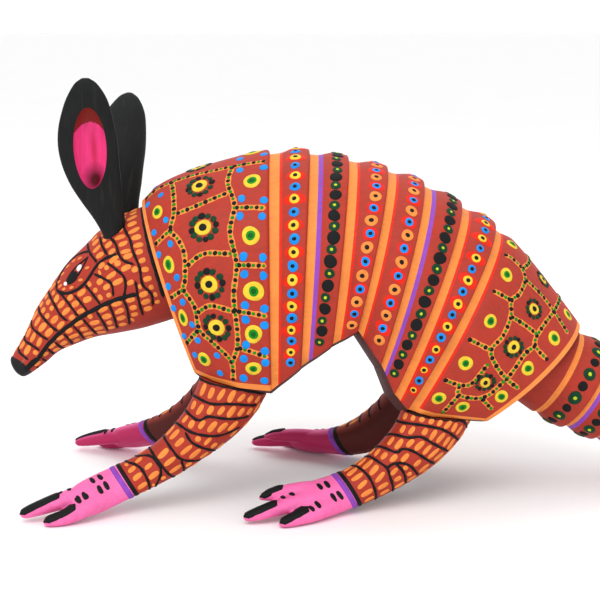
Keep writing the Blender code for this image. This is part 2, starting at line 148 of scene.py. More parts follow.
TAIL = np.array([
    (54.4, 54.0, 18.4), (64.2, 49.4, 19.8), (76.2, 42.2, 18.6), (88.2, 35.4, 16.8),
    (100.2, 28.6, 14.8), (112.5, 22.0, 12.7), (125.0, 16.0, 10.7), (137.5, 11.0, 8.7),
    (149.0, 6.7, 6.9), (158.5, 4.3, 5.2), (165.7, 2.5, 3.0),
])
TAIL_STEP = 2.0
TAIL_PEG_RADIUS, TAIL_PEG_LENGTH = 6.0, 20.0
PEG_HOLD = 6  # how far a peg runs up inside its own piece
GAP = 0.3

# ------------------------------------------------------------------------- paints


def srgb(red, green, blue):
    """A colour as a paint card gives it, 0 to 255, in Blender's linear values."""
    def linear(value):
        value /= 255
        return value / 12.92 if value <= 0.04045 else ((value + 0.055) / 1.055) ** 2.4
    return linear(red), linear(green), linear(blue)


PAINTS = {  # colour, roughness
    "terracotta": (srgb(160, 47, 32), 0.55),
    "tan": (srgb(226, 132, 60), 0.55),
    "flame": (srgb(208, 34, 14), 0.50),
    "violet": (srgb(132, 66, 170), 0.50),
    # umber: the belly, partly paint and partly painted shade, and painted shade on the sunk end
    # faces
    "umber": (srgb(74, 28, 22), 0.65),
    "black": (srgb(17, 17, 18), 0.50),
    "ink": (srgb(17, 18, 19), 0.60),
    "forest": (srgb(6, 54, 31), 0.45),
    "green": (srgb(4, 126, 22), 0.45),
    "leaf": (srgb(4, 84, 18), 0.45),
    "lime": (srgb(176, 192, 34), 0.45),
    "yellow": (srgb(216, 184, 48), 0.50),
    "blue": (srgb(8, 130, 216), 0.45),
    "white": (srgb(226, 226, 222), 0.50),
    "pink": (srgb(232, 104, 164), 0.50),
    "hot_pink": (srgb(224, 62, 126), 0.55),
    # brick: the ear hollow's roof, partly paint and partly painted shade
    "brick": (srgb(124, 30, 23), 0.60),
}


def toned(colour, factor=1.0):
    return (*(min(channel * factor, 1.0) for channel in colour), 1.0)


class Look:
    """A material in the making, whose noises and mixes are in its piece's own space."""

    def __init__(self, name):
        self.material = bpy.data.materials.new(name)
        self.material.use_nodes = True
        self.tree = self.material.node_tree
        self.places = self.node("ShaderNodeTexCoord").outputs

    def give(self, socket, value):
        """Sets an input, or links it where the value is another node's output."""
        if isinstance(value, bpy.types.NodeSocket):
            self.tree.links.new(value, socket)
        else:
            socket.default_value = value

    def node(self, kind, **inputs):
        made = self.tree.nodes.new(kind)
        for name, value in inputs.items():
            self.give(made.inputs[name.replace("_", " ")], value)
        return made

    def noise(self, scale, detail=3.0, stretch=(1.0, 1.0, 1.0)):
        """Noise, drawn out along an axis where stretch is below 1."""
        drawn = self.node("ShaderNodeMapping", Vector=self.places["Object"], Scale=stretch)
        return self.node(
            "ShaderNodeTexNoise", Vector=drawn.outputs["Vector"],
            Scale=scale, Detail=detail, Roughness=0.6,
        ).outputs["Fac"]

    def ranged(self, value, low, high, start=0.3, end=0.7):
        """Low to high, as the value goes from start to end."""
        return self.node(
            "ShaderNodeMapRange", Value=value,
            From_Min=start, From_Max=end, To_Min=low, To_Max=high,
        ).outputs["Result"]

    def mixed(self, share, first, second):
        made = self.tree.nodes.new("ShaderNodeMix")
        made.data_type = "RGBA"
        for socket, value in ((0, share), (6, first), (7, second)):
            self.give(made.inputs[socket], value)
        return made.outputs[2]

    def worn(self, most, start, end):
        """The share of paint rubbed off, by how pointed the surface is."""
        pointed = self.tree.nodes.new("ShaderNodeNewGeometry").outputs["Pointiness"]
        return self.ranged(pointed, 0.0, most, start, end)

    def shaded_inner_side(self):
        """Share of painted shade: 1 where a leg faces the figure's middle plane, 0 where it faces
        away from it.
        """
        def math_node(operation, *values):
            made = self.tree.nodes.new("ShaderNodeMath")
            made.operation = operation
            for value, socket in zip(values, made.inputs):
                self.give(socket, value)
            return made.outputs["Value"]

        place, normal = (
            self.node("ShaderNodeSeparateXYZ", Vector=self.places[source]).outputs["Y"]
            for source in ("Object", "Normal")
        )
        outwards = math_node("MULTIPLY", math_node("SIGN", place), normal)
        return self.ranged(outwards, 1.0, 0.0, -0.75, 0.1)

    def finished(self, tone, roughness, specular=0.5, bumps=(), strength=0.3, depth=0.0):
        """The material; bumps are (height, share of the strength), one on the other."""
        inputs = self.tree.nodes["Principled BSDF"].inputs
        self.give(inputs["Base Color"], tone)
        self.give(inputs["Roughness"], roughness)
        self.give(inputs["Specular IOR Level"], specular)
        for height, share in bumps:
            bump = self.node(
                "ShaderNodeBump", Strength=strength * share, Distance=depth, Height=height,
            )
            if inputs["Normal"].is_linked:
                self.give(bump.inputs["Normal"], inputs["Normal"].links[0].from_socket)
            self.give(inputs["Normal"], bump.outputs["Normal"])
        return self.material


def brushed_paint(name, colour, roughness, inner_shade=None):
    """Acrylic paint brushed on sanded wood: uneven coat, fine strokes, grain, worn edges and
    painted shade on inner sides.
    """
    look = Look(name)
    coat = look.noise(70.0, 4.0)
    brush = look.noise(260.0, 2.0, (1.0, 5.0, 0.6))
    grain = look.noise(900.0, 4.0, (0.12, 1.0, 1.0))
    tone = look.mixed(look.ranged(coat, 0.0, 1.0), toned(colour, 0.86), toned(colour, 1.10))
    tone = look.mixed(look.ranged(brush, 0.0, 0.5, 0.35, 0.75), tone, toned(colour, 1.22))
    tone = look.mixed(look.ranged(grain, 0.0, 0.28, 0.5, 0.72), tone, toned(colour, 0.68))
    rubbed = toned(tuple(0.5 * channel + 0.12 for channel in colour))
    tone = look.mixed(look.worn(0.45, 0.53, 0.60), tone, rubbed)
    # painted shade: the side that faces the figure's middle plane darkens to the given colour
    if inner_shade:
        tone = look.mixed(look.shaded_inner_side(), tone, toned(inner_shade))
    rough = look.ranged(coat, roughness - 0.07, roughness + 0.12)
    return look.finished(tone, rough, 0.22, ((brush, 0.6), (grain, 1.0)), 0.35, 0.00025)


def dab_paint(name, colour, roughness):
    """Thick paint dabbed on with a stick point or a fine brush."""
    look = Look(name)
    patch, fine = look.noise(240.0, 2.0), look.noise(1400.0, 2.0)
    tone = look.mixed(look.ranged(patch, 0.0, 1.0), toned(colour, 0.82), toned(colour, 1.14))
    tone = look.mixed(look.ranged(fine, 0.0, 0.35, 0.45, 0.8), tone, toned(colour, 1.35))
    rough = look.ranged(patch, roughness - 0.08, roughness + 0.10)
    return look.finished(tone, rough, 0.14, ((patch, 0.7), (fine, 0.5)), 0.3, 0.0002)


def ear_black():
    """Matte black brushed up the ear, with grey wood grain showing through in places."""
    look = Look("ear_black")
    brush, coat = look.noise(90.0, 3.0, (6.0, 6.0, 0.5)), look.noise(60.0)
    black = srgb(19, 20, 20)
    tone = look.mixed(look.ranged(coat, 0.0, 1.0), toned(black, 0.75), toned(black, 1.25))
    tone = look.mixed(look.ranged(brush, 0.0, 0.55, 0.55, 0.8), tone, toned(srgb(50, 50, 47)))
    tone = look.mixed(look.worn(0.6, 0.54, 0.62), tone, toned(srgb(64, 62, 58)))
    rough = look.ranged(brush, 0.52, 0.74)
    return look.finished(tone, rough, 0.15, ((brush, 1.0),), 0.35, 0.0003)


def ear_pink():
    """Hot pink in the hollow, with a darker streak and a maroon patch low down as painted shade
    where the hollow is deep.
    """
    look = Look("ear_pink")
    pink = PAINTS["hot_pink"][0]
    brush = look.noise(120.0, 3.0, (5.0, 5.0, 0.5))
    tone = look.mixed(look.ranged(brush, 0.0, 1.0), toned(pink, 0.85), toned(pink, 1.12))
    across, _, up = EAR_HOLLOW[0]
    # painted shade: a darker streak along the deep back wall and a maroon patch in the deepest,
    # lowest part
    for middle, size, colour, most in (
        ((across + 0.8, 4.0, up - 3.0), (1.7, 6.0, 12.0), srgb(176, 34, 60), 0.7),
        ((across + 1.2, 1.4, up - 14.5), (6.4, 8.0, 8.0), srgb(74, 6, 14), 1.0),
    ):
        shift = look.node(
            "ShaderNodeMapping", Vector=look.places["Object"],
            Location=[-m / s for m, s in zip(middle, size)],
            Scale=[1 / (s * MM) for s in size],
        )
        ball = look.node("ShaderNodeTexGradient", Vector=shift.outputs["Vector"])
        ball.gradient_type = "SPHERICAL"
        share = look.ranged(ball.outputs["Fac"], 0.0, most, 0.0, 0.75)
        tone = look.mixed(share, tone, toned(colour))
    rough = look.ranged(brush, 0.50, 0.68)
    return look.finished(tone, rough, 0.12, ((brush, 1.0),), 0.3, 0.0002)


def bare_wood():
    """Pale unpainted copal wood, with growth rings and fine pores along the rod."""
    look = Look("bare_wood")
    growth = look.noise(160.0, 2.0, (0.5, 1.0, 1.0))
    fibre = look.noise(1500.0, 4.0, (0.1, 1.0, 1.0))
    pale, dark = toned(srgb(226, 196, 150)), toned(srgb(203, 165, 118))
    tone = look.mixed(look.ranged(growth, 0.0, 1.0), dark, pale)
    tone = look.mixed(look.ranged(fibre, 0.0, 0.5, 0.5, 0.75), tone, toned(srgb(160, 118, 76)))
    rough = look.ranged(fibre, 0.62, 0.82)
    return look.finished(tone, rough, bumps=((fibre, 1.0),), strength=0.4, depth=0.0002)


def floor_paper():
    """Smooth pale paper, with the faintest mottling."""
    look = Look("floor_paper")
    tone = look.mixed(look.noise(6.0), toned((0.90,) * 3), toned((0.93,) * 3))
    return look.finished(tone, 0.7)


GROUND = ("terracotta", "tan", "flame", "violet", "umber", "black", "brick")
ground = {name: brushed_paint(f"ground_{name}", *PAINTS[name]) for name in GROUND}
# Legs and feet darken on the side facing the middle plane: painted shade under the body.
leg_ground = brushed_paint("leg_terracotta_inner_shade", *PAINTS["terracotta"], srgb(78, 24, 18))
foot_ground = brushed_paint("foot_pink_inner_shade", *PAINTS["pink"], srgb(176, 36, 88))
wood = bare_wood()
black_ear, pink_hollow = ear_black(), ear_pink()

# ------------------------------------------------------------------- mesh helpers

SHARP = 38  # degrees between faces from which an edge is shaded as sharp


def smooth(t):
    t = min(max(t, 0.0), 1.0)
    return t * t * (3 - 2 * t)


def spline(rows, s):
    """The row at station s, on a smooth curve through all rows."""
    i = min(max(int(s), 0), len(rows) - 2)
    t = s - i
    p1, p2 = rows[i], rows[i + 1]
    p0 = rows[i - 1] if i else 2 * p1 - p2
    p3 = rows[i + 2] if i + 2 < len(rows) else 2 * p2 - p1
    return 0.5 * (
        2 * p1 + (p2 - p0) * t + (2 * p0 - 5 * p1 + 4 * p2 - p3) * t**2
        + (3 * p1 - p0 - 3 * p2 + p3) * t**3
    )


def straight(rows, s):
    """The row at station s, on straight lines between the rows."""
    i = min(max(int(s), 0), len(rows) - 2)
    return rows[i] + (rows[i + 1] - rows[i]) * (s - i)


def linked(name, data):
    """A new object in the scene."""
    made = bpy.data.objects.new(name, data)
    bpy.context.scene.collection.objects.link(made)
    return made


def piece(name, points, faces, looks, marks=None, sharp=SHARP):
    """A mesh object from points in millimetres; marks gives each face's material."""
    mesh = bpy.data.meshes.new(name)
    mesh.from_pydata([Vector(p) * MM for p in points], [], faces)
    for look in looks:
        mesh.materials.append(look)
    if marks:
        mesh.polygons.foreach_set("material_index", marks)
    finish_mesh(mesh, sharp)
    return linked(name, mesh)


def finish_mesh(mesh, sharp=SHARP):
    """Turns all faces outwards, and smooths the shading except at sharp edges."""
    build = bmesh.new()
    build.from_mesh(mesh)
    bmesh.ops.recalc_face_normals(build, faces=build.faces)
    build.to_mesh(mesh)
    build.free()
    mesh.shade_smooth()
    mesh.set_sharp_from_angle(angle=math.radians(sharp))


def full_turn(step):
    """Angles from the crest down the left side and, past the belly, up the right side."""
    return list(range(0, 181, step)) + list(range(step - 180, 0, step))


def skinned(name, rings, looks, marks=None):
    """Skins closed rings of equal length and caps both ends; marks has a list for each strip."""
    count = len(rings[0])
    points = [p for ring in rings for p in ring]
    faces, indexes = [], []
    for i in range(len(rings) - 1):
        for j in range(count):
            k = (j + 1) % count
            a, b = i * count, (i + 1) * count
            faces.append((a + j, b + j, b + k, a + k))
            indexes.append(marks[i][j] if marks else 0)
    faces.append(tuple(range(count)))
    faces.append(tuple(range((len(rings) - 1) * count, len(rings) * count))[::-1])
    indexes += [marks[0][0], marks[-1][0]] if marks else [0, 0]
    return piece(name, points, faces, looks, indexes)


def rod(name, start, end, radius):
    """A round rod of bare wood with a small chamfer at both ends."""
    start, end = Vector(start), Vector(end)
    along = (end - start).normalized()
    across = along.orthogonal().normalized()
    other = along.cross(across)
    chamfer, sides = 0.5, 48
    turns = [2 * math.pi * k / sides for k in range(sides)]
    rings = [
        [middle + (across * math.cos(t) + other * math.sin(t)) * size for t in turns]
        for middle, size in (
            (start, radius - chamfer), (start + along * chamfer, radius),
            (end - along * chamfer, radius), (end, radius - chamfer),
        )
    ]
    return skinned(name, rings, [wood])


def applied(obj):
    """Makes the evaluated mesh the object's own, and clears its modifiers."""
    bpy.context.view_layer.update()
    graph = bpy.context.evaluated_depsgraph_get()
    mesh = bpy.data.meshes.new_from_object(obj.evaluated_get(graph))
    obj.modifiers.clear()
    obj.data = mesh


def combined(obj, others, operation, keep=False):
    """Cuts the others from the object or joins them to it; their paint comes with them."""
    for other in others:
        step = obj.modifiers.new(operation, "BOOLEAN")
        step.operation = operation
        step.solver = "EXACT"
        step.material_mode = "TRANSFER"
        step.object = other
    applied(obj)
    for other in [] if keep else others:
        bpy.data.objects.remove(other)


# -------------------------------------------------------------------------- trunk


def rounded_off(t):
    """The height that a band or ring keeps, 1 to 0, at share t of its length."""
    over = max((t - ROUNDED) / (1 - ROUNDED), 0.0)
    return math.sqrt(max(1 - over * over, 0.0))


def lift_at(s):
    """How far the shell stands over its base surface; trailing edges are rounded."""
    t = s - int(s)
    if s >= HIP_START:
        return BAND_STEP * smooth((s - HIP_START - 0.12) / 0.4)
    if s >= SHIELD_END:
        return BAND_STEP * smooth((t - 0.15) / 0.5) * rounded_off(t)
    return BAND_STEP * (rounded_off(t) if s > SHIELD_END - 1 else 1)


def trunk_point(s, angle, grow=0.0):
    """A place on the trunk, or that far outside it."""
    crest_x, crest_z, width = spline(CREST, s)
    edge = straight(EDGE, s)
    up = np.array((crest_x, crest_z)) - edge
    height = np.linalg.norm(up)
    up /= height
    lift = lift_at(s) + grow
    waist = WAIST * height
    around = abs(angle)
    turn = math.radians(min(around, ARCH))
    reach = height - waist + lift if turn < math.pi / 2 else 2 * waist
    x, z = edge + up * (waist + reach * math.cos(turn))
    y = (width + lift) * math.sin(turn)
    if around > ARCH:
        across = (180 - around) / (180 - ARCH)
        x, z = edge - up * (BELLY_DROP * (1 - across**2) + grow)
        y *= across
    return Vector((x, -y if angle > 0 else y, z))


FRONT_RIM, REAR_RIM, TAN_STRIPE = 1.7, 2.1, 3.5
LINE_WIDTH = {"flame": 1.1, "violet": 1.9}
BAND_LINES = {
    3: "flame", 4: "violet", 5: "flame", 6: "flame", 7: "violet", 8: "flame", 9: "flame",
}
LOWER_RIM = 117.4  # angle where the tan lower rim of a shield starts
FLANK_ANGLES = [2.0 * k for k in range(59)] + [LOWER_RIM, 118.7]
BELLY_ANGLES = [120.0, 121.0, 123.0, 127.0, 133.0, 140.0, 149.0, 159.0, 169.0]
TRUNK_PAINTS = ("terracotta", "tan", "flame", "violet", "umber")


def strip(first, last, count, paint):
    """Stations for that many rows of faces, each with the paint that starts there."""
    return [(first + (last - first) * k / count, paint) for k in range(count)]


def trunk_column(angle):
    """Stations down one column of the trunk, each with the paint that starts there."""
    angle = min(angle, ARCH)

    def share(mm, band):
        return mm / (trunk_point(band + 1, angle) - trunk_point(band, angle)).length

    shield_rows, band_rows, roll_rows = 34, 8, 5
    rim = share(FRONT_RIM, 0)
    rounded = SHIELD_END - 1 + ROUNDED
    column = strip(0.0, rim, 2, "tan") + strip(rim, rounded, shield_rows, "terracotta")
    column += strip(rounded, SHIELD_END - 0.001, roll_rows, "terracotta")
    for band, line in BAND_LINES.items():
        first = band + share(TAN_STRIPE, band)
        second = first + share(LINE_WIDTH[line], band)
        column += strip(band, first, 3, "tan") + strip(first, second, 2, line)
        if band < HIP_START:
            column += strip(second, band + ROUNDED, band_rows, "terracotta")
            column += strip(band + ROUNDED, band + 0.999, roll_rows, "terracotta")
    rear = TRUNK_END - share(REAR_RIM, TRUNK_END - 1)
    column += strip(second, rear, shield_rows, "terracotta") + strip(rear, TRUNK_END, 3, "tan")
    return column + [(float(TRUNK_END), "tan")]


def build_trunk():
    """The shell and the belly in one skin, with a lip and a sunk face at both ends. The belly,
    lips and sunk faces are dark umber: partly paint, partly painted shade.
    """
    half = FLANK_ANGLES + BELLY_ANGLES
    angles = half + [180.0] + [-a for a in half[:0:-1]]
    columns = {a: trunk_column(a) for a in half + [180.0]}
    rings, marks = [], []
    for row in range(len(columns[0.0])):
        rings.append([trunk_point(columns[abs(a)][row][0], a) for a in angles])
        strip_marks = []
        for a, b in zip(angles, angles[1:] + [0.0]):
            station, paint = columns[abs(a)][row]
            shielded = station < SHIELD_END - 0.001 or station > HIP_START + 0.2
            # belly faces: dark umber, partly their paint and partly painted shade on the
            # underside
            if max(abs(a), abs(b)) > ARCH:
                paint = "umber"
            elif min(abs(a), abs(b)) >= LOWER_RIM and shielded:
                paint = "tan"
            strip_marks.append(TRUNK_PAINTS.index(paint))
        marks.append(strip_marks)
    # lips and sunk end faces: dark umber as painted shade in the recesses at neck and tail
    recess_shade_marks = [TRUNK_PAINTS.index("umber")] * len(angles)
    for at_front in (True, False):
        s = 0 if at_front else TRUNK_END
        ring = rings[0] if at_front else rings[-1]
        middle = sum(ring, Vector()) / len(ring)
        up = CREST[s][:2] - EDGE[s]
        up /= np.linalg.norm(up)
        inward = Vector((up[1], 0, -up[0])) * (1 if at_front else -1)
        lip = [middle + (p - middle) * LIP for p in ring]
        sunk = [p + inward * RECESS for p in lip]
        if at_front:
            rings = [sunk, lip] + rings
            marks = [recess_shade_marks, recess_shade_marks] + marks
        else:
            rings += [lip, sunk]
            marks = marks[:-1] + [recess_shade_marks, recess_shade_marks]
    return skinned("trunk_wood", rings, [ground[name] for name in TRUNK_PAINTS], marks)


# --------------------------------------------------------------------------- head


def head_point(s, angle, grow=0.0):
    """A place on the head, or that far outside it."""
    if s < 1:  # the nose rounds off like half an egg
        tip = Vector(((HEAD[0][0] + HEAD[0][2]) / 2, 0, (HEAD[0][1] + HEAD[0][3]) / 2))
        base = (head_point(1, 0) + head_point(1, 180)) / 2
        middle = tip + (base - tip) * s
        return middle + (head_point(1, angle, grow) - base) * math.sqrt(max(s * (2 - s), 0.0))
    top_x, top_z, low_x, low_z, width = spline(HEAD, s)
    top, low = np.array((top_x, top_z)), np.array((low_x, low_z))
    height = np.linalg.norm(top - low)
    up = (top - low) / height
    waist = HEAD_WAIST * height
    turn = math.radians(abs(angle))
    reach = height - waist if turn < math.pi / 2 else waist
    x, z = low + up * (waist + (reach + grow) * math.cos(turn))
    y = (width + grow) * math.sin(turn)
    return Vector((x, -y if angle > 0 else y, z))


def nose_end(angle):
    """Station where the black of the nose stops."""
    return 1.0 + 0.45 * smooth(abs(angle) / 100)


def build_head(name, grow, step):
    """The head, all of it grow thicker, with a column of faces at every step degrees."""
    angles = full_turn(step)
    rings, marks = [], []
    nose_rows, rows, last = 12, 80, len(HEAD) - 1
    for row in range(rows + 1):
        ring = []
        for a in angles:
            s = nose = nose_end(a)
            if row < nose_rows:
                s *= (row / nose_rows) ** 1.5
            else:
                s += (last - nose) * (row - nose_rows) / (rows - nose_rows)
            ring.append(head_point(max(s, 0.005), a, grow))
        rings.append(ring)
        marks.append([0 if row < nose_rows else 1] * len(angles))
    return skinned(name, rings, [ground[n] for n in ("black", "terracotta")], marks)


# --------------------------------------------------------------------------- ears


def ear_frames(name):
    """Where the ear stands (for its object), and its size and mirroring (for its mesh)."""
    root, splay, back, size, side, _ = EARS[name]
    turn = Matrix.Rotation(math.radians(-side * splay), 4, "X")
    turn = turn @ Matrix.Rotation(math.radians(back), 4, "Y")
    place = Matrix.Translation(Vector(root)) @ turn
    return place, Matrix.Diagonal((size, -side * size, size, 1.0))


def ear_ring(row, form):
    """One closed outline across the ear, at its height up the ear."""
    up, middle, wide, front, back = row
    ring, sides = [], 96
    for k in range(sides):
        turn = 2 * math.pi * k / sides
        depth = -front if math.sin(turn) > 0 else back
        bulge = abs(math.sin(turn)) ** (0.7 if depth < 0 else 1.0)
        ring.append(form @ Vector((middle + wide * math.cos(turn), depth * bulge, up)))
    return ring


def ear_hollow(form):
    """The scooped hollow as a cutter: pink below, with a brick-red roof that is partly paint and
    partly painted shade under the overhang.
    """
    middle, half = EAR_HOLLOW
    build = bmesh.new()
    bmesh.ops.create_uvsphere(build, u_segments=96, v_segments=72, radius=1.0)
    bmesh.ops.transform(build, matrix=Matrix.Rotation(math.pi / 2, 4, "X"), verts=build.verts)
    # faces high in the hollow, which look down from under the overhang, get brick red: partly
    # paint, partly painted shade
    roof_low, roof_arch = 9.4, 0.09
    for face in build.faces:
        x, _, z = face.calc_center_median() * Vector((half[0], 0, half[2]))
        face.material_index = 1 if z > roof_low - roof_arch * x * x else 0
    shape = Matrix.Translation(middle) @ Matrix.Diagonal((*half, 1.0))
    bmesh.ops.transform(build, matrix=Matrix.Scale(MM, 4) @ form @ shape, verts=build.verts)
    bmesh.ops.recalc_face_normals(build, faces=build.faces)
    mesh = bpy.data.meshes.new("hollow")
    build.to_mesh(mesh)
    build.free()
    mesh.materials.append(pink_hollow)
    mesh.materials.append(ground["brick"])
    return linked("hollow", mesh)


def build_ear(name):
    """A leaf with a hollow and a peg, its foot cut to the head's surface."""
    place, form = ear_frames(name)
    rows = 110
    rings = [ear_ring(spline(EAR, (len(EAR) - 1) * k / rows), form) for k in range(rows + 1)]
    leaf = skinned(f"{name}_wood", rings, [black_ear])
    peg = rod("peg", (0, 0, -EAR_PEG_LENGTH), (0, 0, PEG_HOLD), EAR_PEG_RADIUS)
    combined(leaf, [ear_hollow(form)], "DIFFERENCE")
    leaf.matrix_world = Matrix.Scale(MM, 4) @ place @ Matrix.Scale(1 / MM, 4)
    head_space = build_head("head_space", 0.2, 6)
    head_space.data.materials.clear()
    head_space.data.materials.append(black_ear)
    bpy.context.view_layer.update()
    combined(leaf, [head_space], "DIFFERENCE")
    peg.matrix_world = leaf.matrix_world
    combined(leaf, [peg], "UNION")
    finish_mesh(leaf.data)
    return leaf


# --------------------------------------------------------------------------- legs


def heading(rows, s):
    """The way along a row of middles, from just before station s to just after it."""
    return spline(rows, min(s + 0.05, len(rows) - 1)) - spline(rows, max(s - 0.05, 0))


def limb_point(rows, s, angle, side, floor=False):
    """A place on a leg or a toe: angle 0 faces outwards, 90 forwards and up."""
    row = spline(rows, s)
    along = Vector(heading(rows, s)[:3]).normalized()
    out = -along.cross(Vector((0, 0, 1))).normalized()
    rise = out.cross(along).normalized()
    if rise.z < 0:
        rise = -rise
    bank = math.radians(row[5]) if len(row) > 5 else 0.0
    wide = out * math.cos(bank) - rise * math.sin(bank)
    tall = rise * math.cos(bank) + out * math.sin(bank)
    turn = math.radians(angle)
    p = Vector(row[:3]) + wide * row[3] * math.cos(turn) + tall * row[4] * math.sin(turn)
    return Vector((p.x, -side * p.y, max(p.z, 0.0) if floor else p.z))


def limb(name, rows, side, sides):
    """A leg or a toe, kept flat where it meets the floor."""
    last, step = len(rows) - 1, 0.25
    stations = [k * step for k in range(int(last / step))] + [last]
    rings = [
        [limb_point(rows, s, 360 * k / sides, side, True) for k in range(sides)]
        for s in stations
    ]
    return skinned(name, rings, [leg_ground])


def strode(rows, stride, share):
    """The rows moved back by a share of the stride, or by a share for each row."""
    moved = rows.copy()
    moved[:, 0] += stride * share
    return moved


def cuff_station(rows, angle, lag=0.0):
    """Where the painted cuff runs round the wrist."""
    front = rows is FRONT_LEG
    station = 7.0 if front else 6.2
    return station + lag + (0.14 if front else 0.22) * math.sin(math.radians(angle))


def build_leg(name, base_rows, toes, side, trunk_space):
    """A leg grown together with its toes, and the rows that its paint follows."""
    stride = STRIDE.get(name, 0.0)
    rows = strode(base_rows, stride, np.linspace(0.0, 1.0, len(base_rows)))
    toes = [strode(toe, stride, 1.0) for toe in toes]
    leg = limb(f"{name}_wood", rows, side, 36)
    combined(leg, [limb("toe", toe, side, 20) for toe in toes], "UNION")
    combined(leg, [trunk_space], "DIFFERENCE", keep=True)
    remesh = leg.modifiers.new("one skin", "REMESH")
    remesh.mode = "VOXEL"
    remesh.voxel_size = 0.55 * MM
    relax = leg.modifiers.new("sanded", "SMOOTH")
    relax.factor = 0.5
    relax.iterations = 8
    applied(leg)

    def at(s, angle):
        return limb_point(rows, s, angle, side)

    cuff, near = cuff_station(base_rows, 0, 0.12), 0.3
    middle = (at(cuff, 90) + at(cuff, -90)) / 2
    ahead = sum((at(cuff + near, a) - at(cuff - near, a) for a in (0, 180)), Vector())
    mesh = leg.data
    mesh.materials.clear()
    mesh.materials.append(leg_ground)
    mesh.materials.append(foot_ground)
    marks = [1 if (p.center / MM - middle).dot(ahead) > 0 else 0 for p in mesh.polygons]
    mesh.polygons.foreach_set("material_index", marks)
    finish_mesh(mesh, 60)
    return leg, rows, toes


# --------------------------------------------------------------------------- tail


def tail_frame(s):
    """The middle, the way up and the radius at station s, in the middle plane."""
    x, z, radius = spline(TAIL, s)
    along = heading(TAIL, s)[:2]
    along /= np.linalg.norm(along)
    return np.array((x, z)), np.array((-along[1], along[0])), radius


def tail_root():
    """The root's middle and its way up, on the sunk face of the hip shield."""
    crest, edge = CREST[-1][:2], EDGE[-1]
    up = (crest - edge) / np.linalg.norm(crest - edge)
    out = np.array((up[1], -up[0]))
    middle = TAIL[0][:2]
    return middle + out * (GAP - np.dot(middle - (crest - out * RECESS), out)), up


def tail_point(s, angle):
    """A place on the tail; before station 1 it runs straight back to the root."""
    middle, up, radius = tail_frame(max(s, 1.0))
    t = s - int(s)
    low = -0.5 * TAIL_STEP * radius / TAIL[0][2]
    lift = 0.0
    if s < len(TAIL) - 1.01:
        high = low * (1 - 2 * smooth(t / 0.6)) if s >= 1 else 0.0
        lift = high + (low - high) * (1 - rounded_off(t))
    turn = math.radians(abs(angle))
    size = radius + lift
    x, z = middle + up * size * math.cos(turn)
    y = size * math.sin(turn)
    if s < 1:
        base, base_up = tail_root()
        bx, bz = base + base_up * TAIL[0][2] * math.cos(turn)
        by = TAIL[0][2] * math.sin(turn)
        full = 1 + 0.03 * math.sin(math.pi * s)
        x, z = bx + (x - bx) * s, bz + (z - bz) * s
        y = (by + (y - by) * s) * full
    return Vector((x, -y if angle > 0 else y, max(z, 0.0)))


TAIL_PAINTS = ("terracotta", "tan", "violet")
TAIL_STRIPE, TAIL_LINE = 2.0, 1.9


def build_tail():
    """The ringed tail, without its peg."""
    angles = full_turn(4)
    last = len(TAIL) - 1
    column = strip(0.0, ROUNDED, 12, "terracotta") + strip(ROUNDED, 0.999, 4, "tan")
    for ring in range(1, last):
        length = np.linalg.norm(TAIL[ring + 1][:2] - TAIL[ring][:2])
        first = ring + TAIL_STRIPE / length * (1 - 0.04 * ring)
        second = first + TAIL_LINE / length * (1 - 0.04 * ring)
        line = "violet" if ring > 1 else "terracotta"
        column += strip(ring, first, 2, "tan") + strip(first, second, 2, line)
        column += strip(second, ring + ROUNDED, 6, "terracotta")
        column += strip(ring + ROUNDED, ring + 0.999, 5, "terracotta")
    column.append((float(last), "terracotta"))
    rings = [[tail_point(s, a) for a in angles] for s, _ in column]
    marks = [[TAIL_PAINTS.index(paint)] * len(angles) for _, paint in column]
    tip = rings[-1]
    middle = sum(tip, Vector()) / len(tip)
    for size in (0.92, 0.7, 0.35):
        bulge = Vector((1.5, 0, 0)) * math.sqrt(1 - size * size)
        rings.append([middle + (p - middle) * size + bulge for p in tip])
        marks.append(marks[-1])
    return skinned("tail_wood", rings, [ground[n] for n in TAIL_PAINTS], marks)


# ----------------------------------------------------------------- painted marks


class Skin:
    """A surface to paint: point(station, angle) finds a place, and tree is the fine mesh."""

    def __init__(self, point, obj, body="figure"):
        self.point, self.body = point, body
        mesh = obj.data
        corners = [obj.matrix_world @ v.co / MM for v in mesh.vertices]
        self.tree = BVHTree.FromPolygons(corners, [tuple(p.vertices) for p in mesh.polygons])

    def settle(self, p, height):
        """The place over p at that height above the wood."""
        spot, normal, _, _ = self.tree.find_nearest(p)
        return spot + normal * height

    def frame(self, s, angle):
        """A place on the wood, with the way along the piece, the way round it and the way out."""
        p = self.point(s, angle)
        along = self.point(s + 0.12, angle) - self.point(s - 0.12, angle)
        spot, normal, _, _ = self.tree.find_nearest(p)
        round_ = self.point(s, angle + 2) - self.point(s, angle - 2)
        out = along.cross(round_).normalized()
        if out.dot(normal) < 0:
            out = -out
        along = (along - out * along.dot(out)).normalized()
        return spot, along, out.cross(along), out


strokes = {}  # (body, paint): points and faces of every dab of that paint
ROOTED = -0.12  # the underside of a dab lies this far inside the wood


def lay(skin, paint, rings, looped=False):
    """Adds a closed shell of equally long rings, capped at both ends or looped round."""
    points, faces = strokes.setdefault((skin.body, paint), ([], []))
    base, count = len(points), len(rings[0])
    for ring in rings:
        points.extend(ring)
    for i in range(len(rings) - (0 if looped else 1)):
        for j in range(count):
            k = (j + 1) % count
            a, b = base + i * count, base + (i + 1) % len(rings) * count
            faces.append((a + j, a + k, b + k, b + j))
    if looped:
        return
    faces.append(tuple(range(base, base + count))[::-1])
    top = base + (len(rings) - 1) * count
    faces.append(tuple(range(top, top + count)))


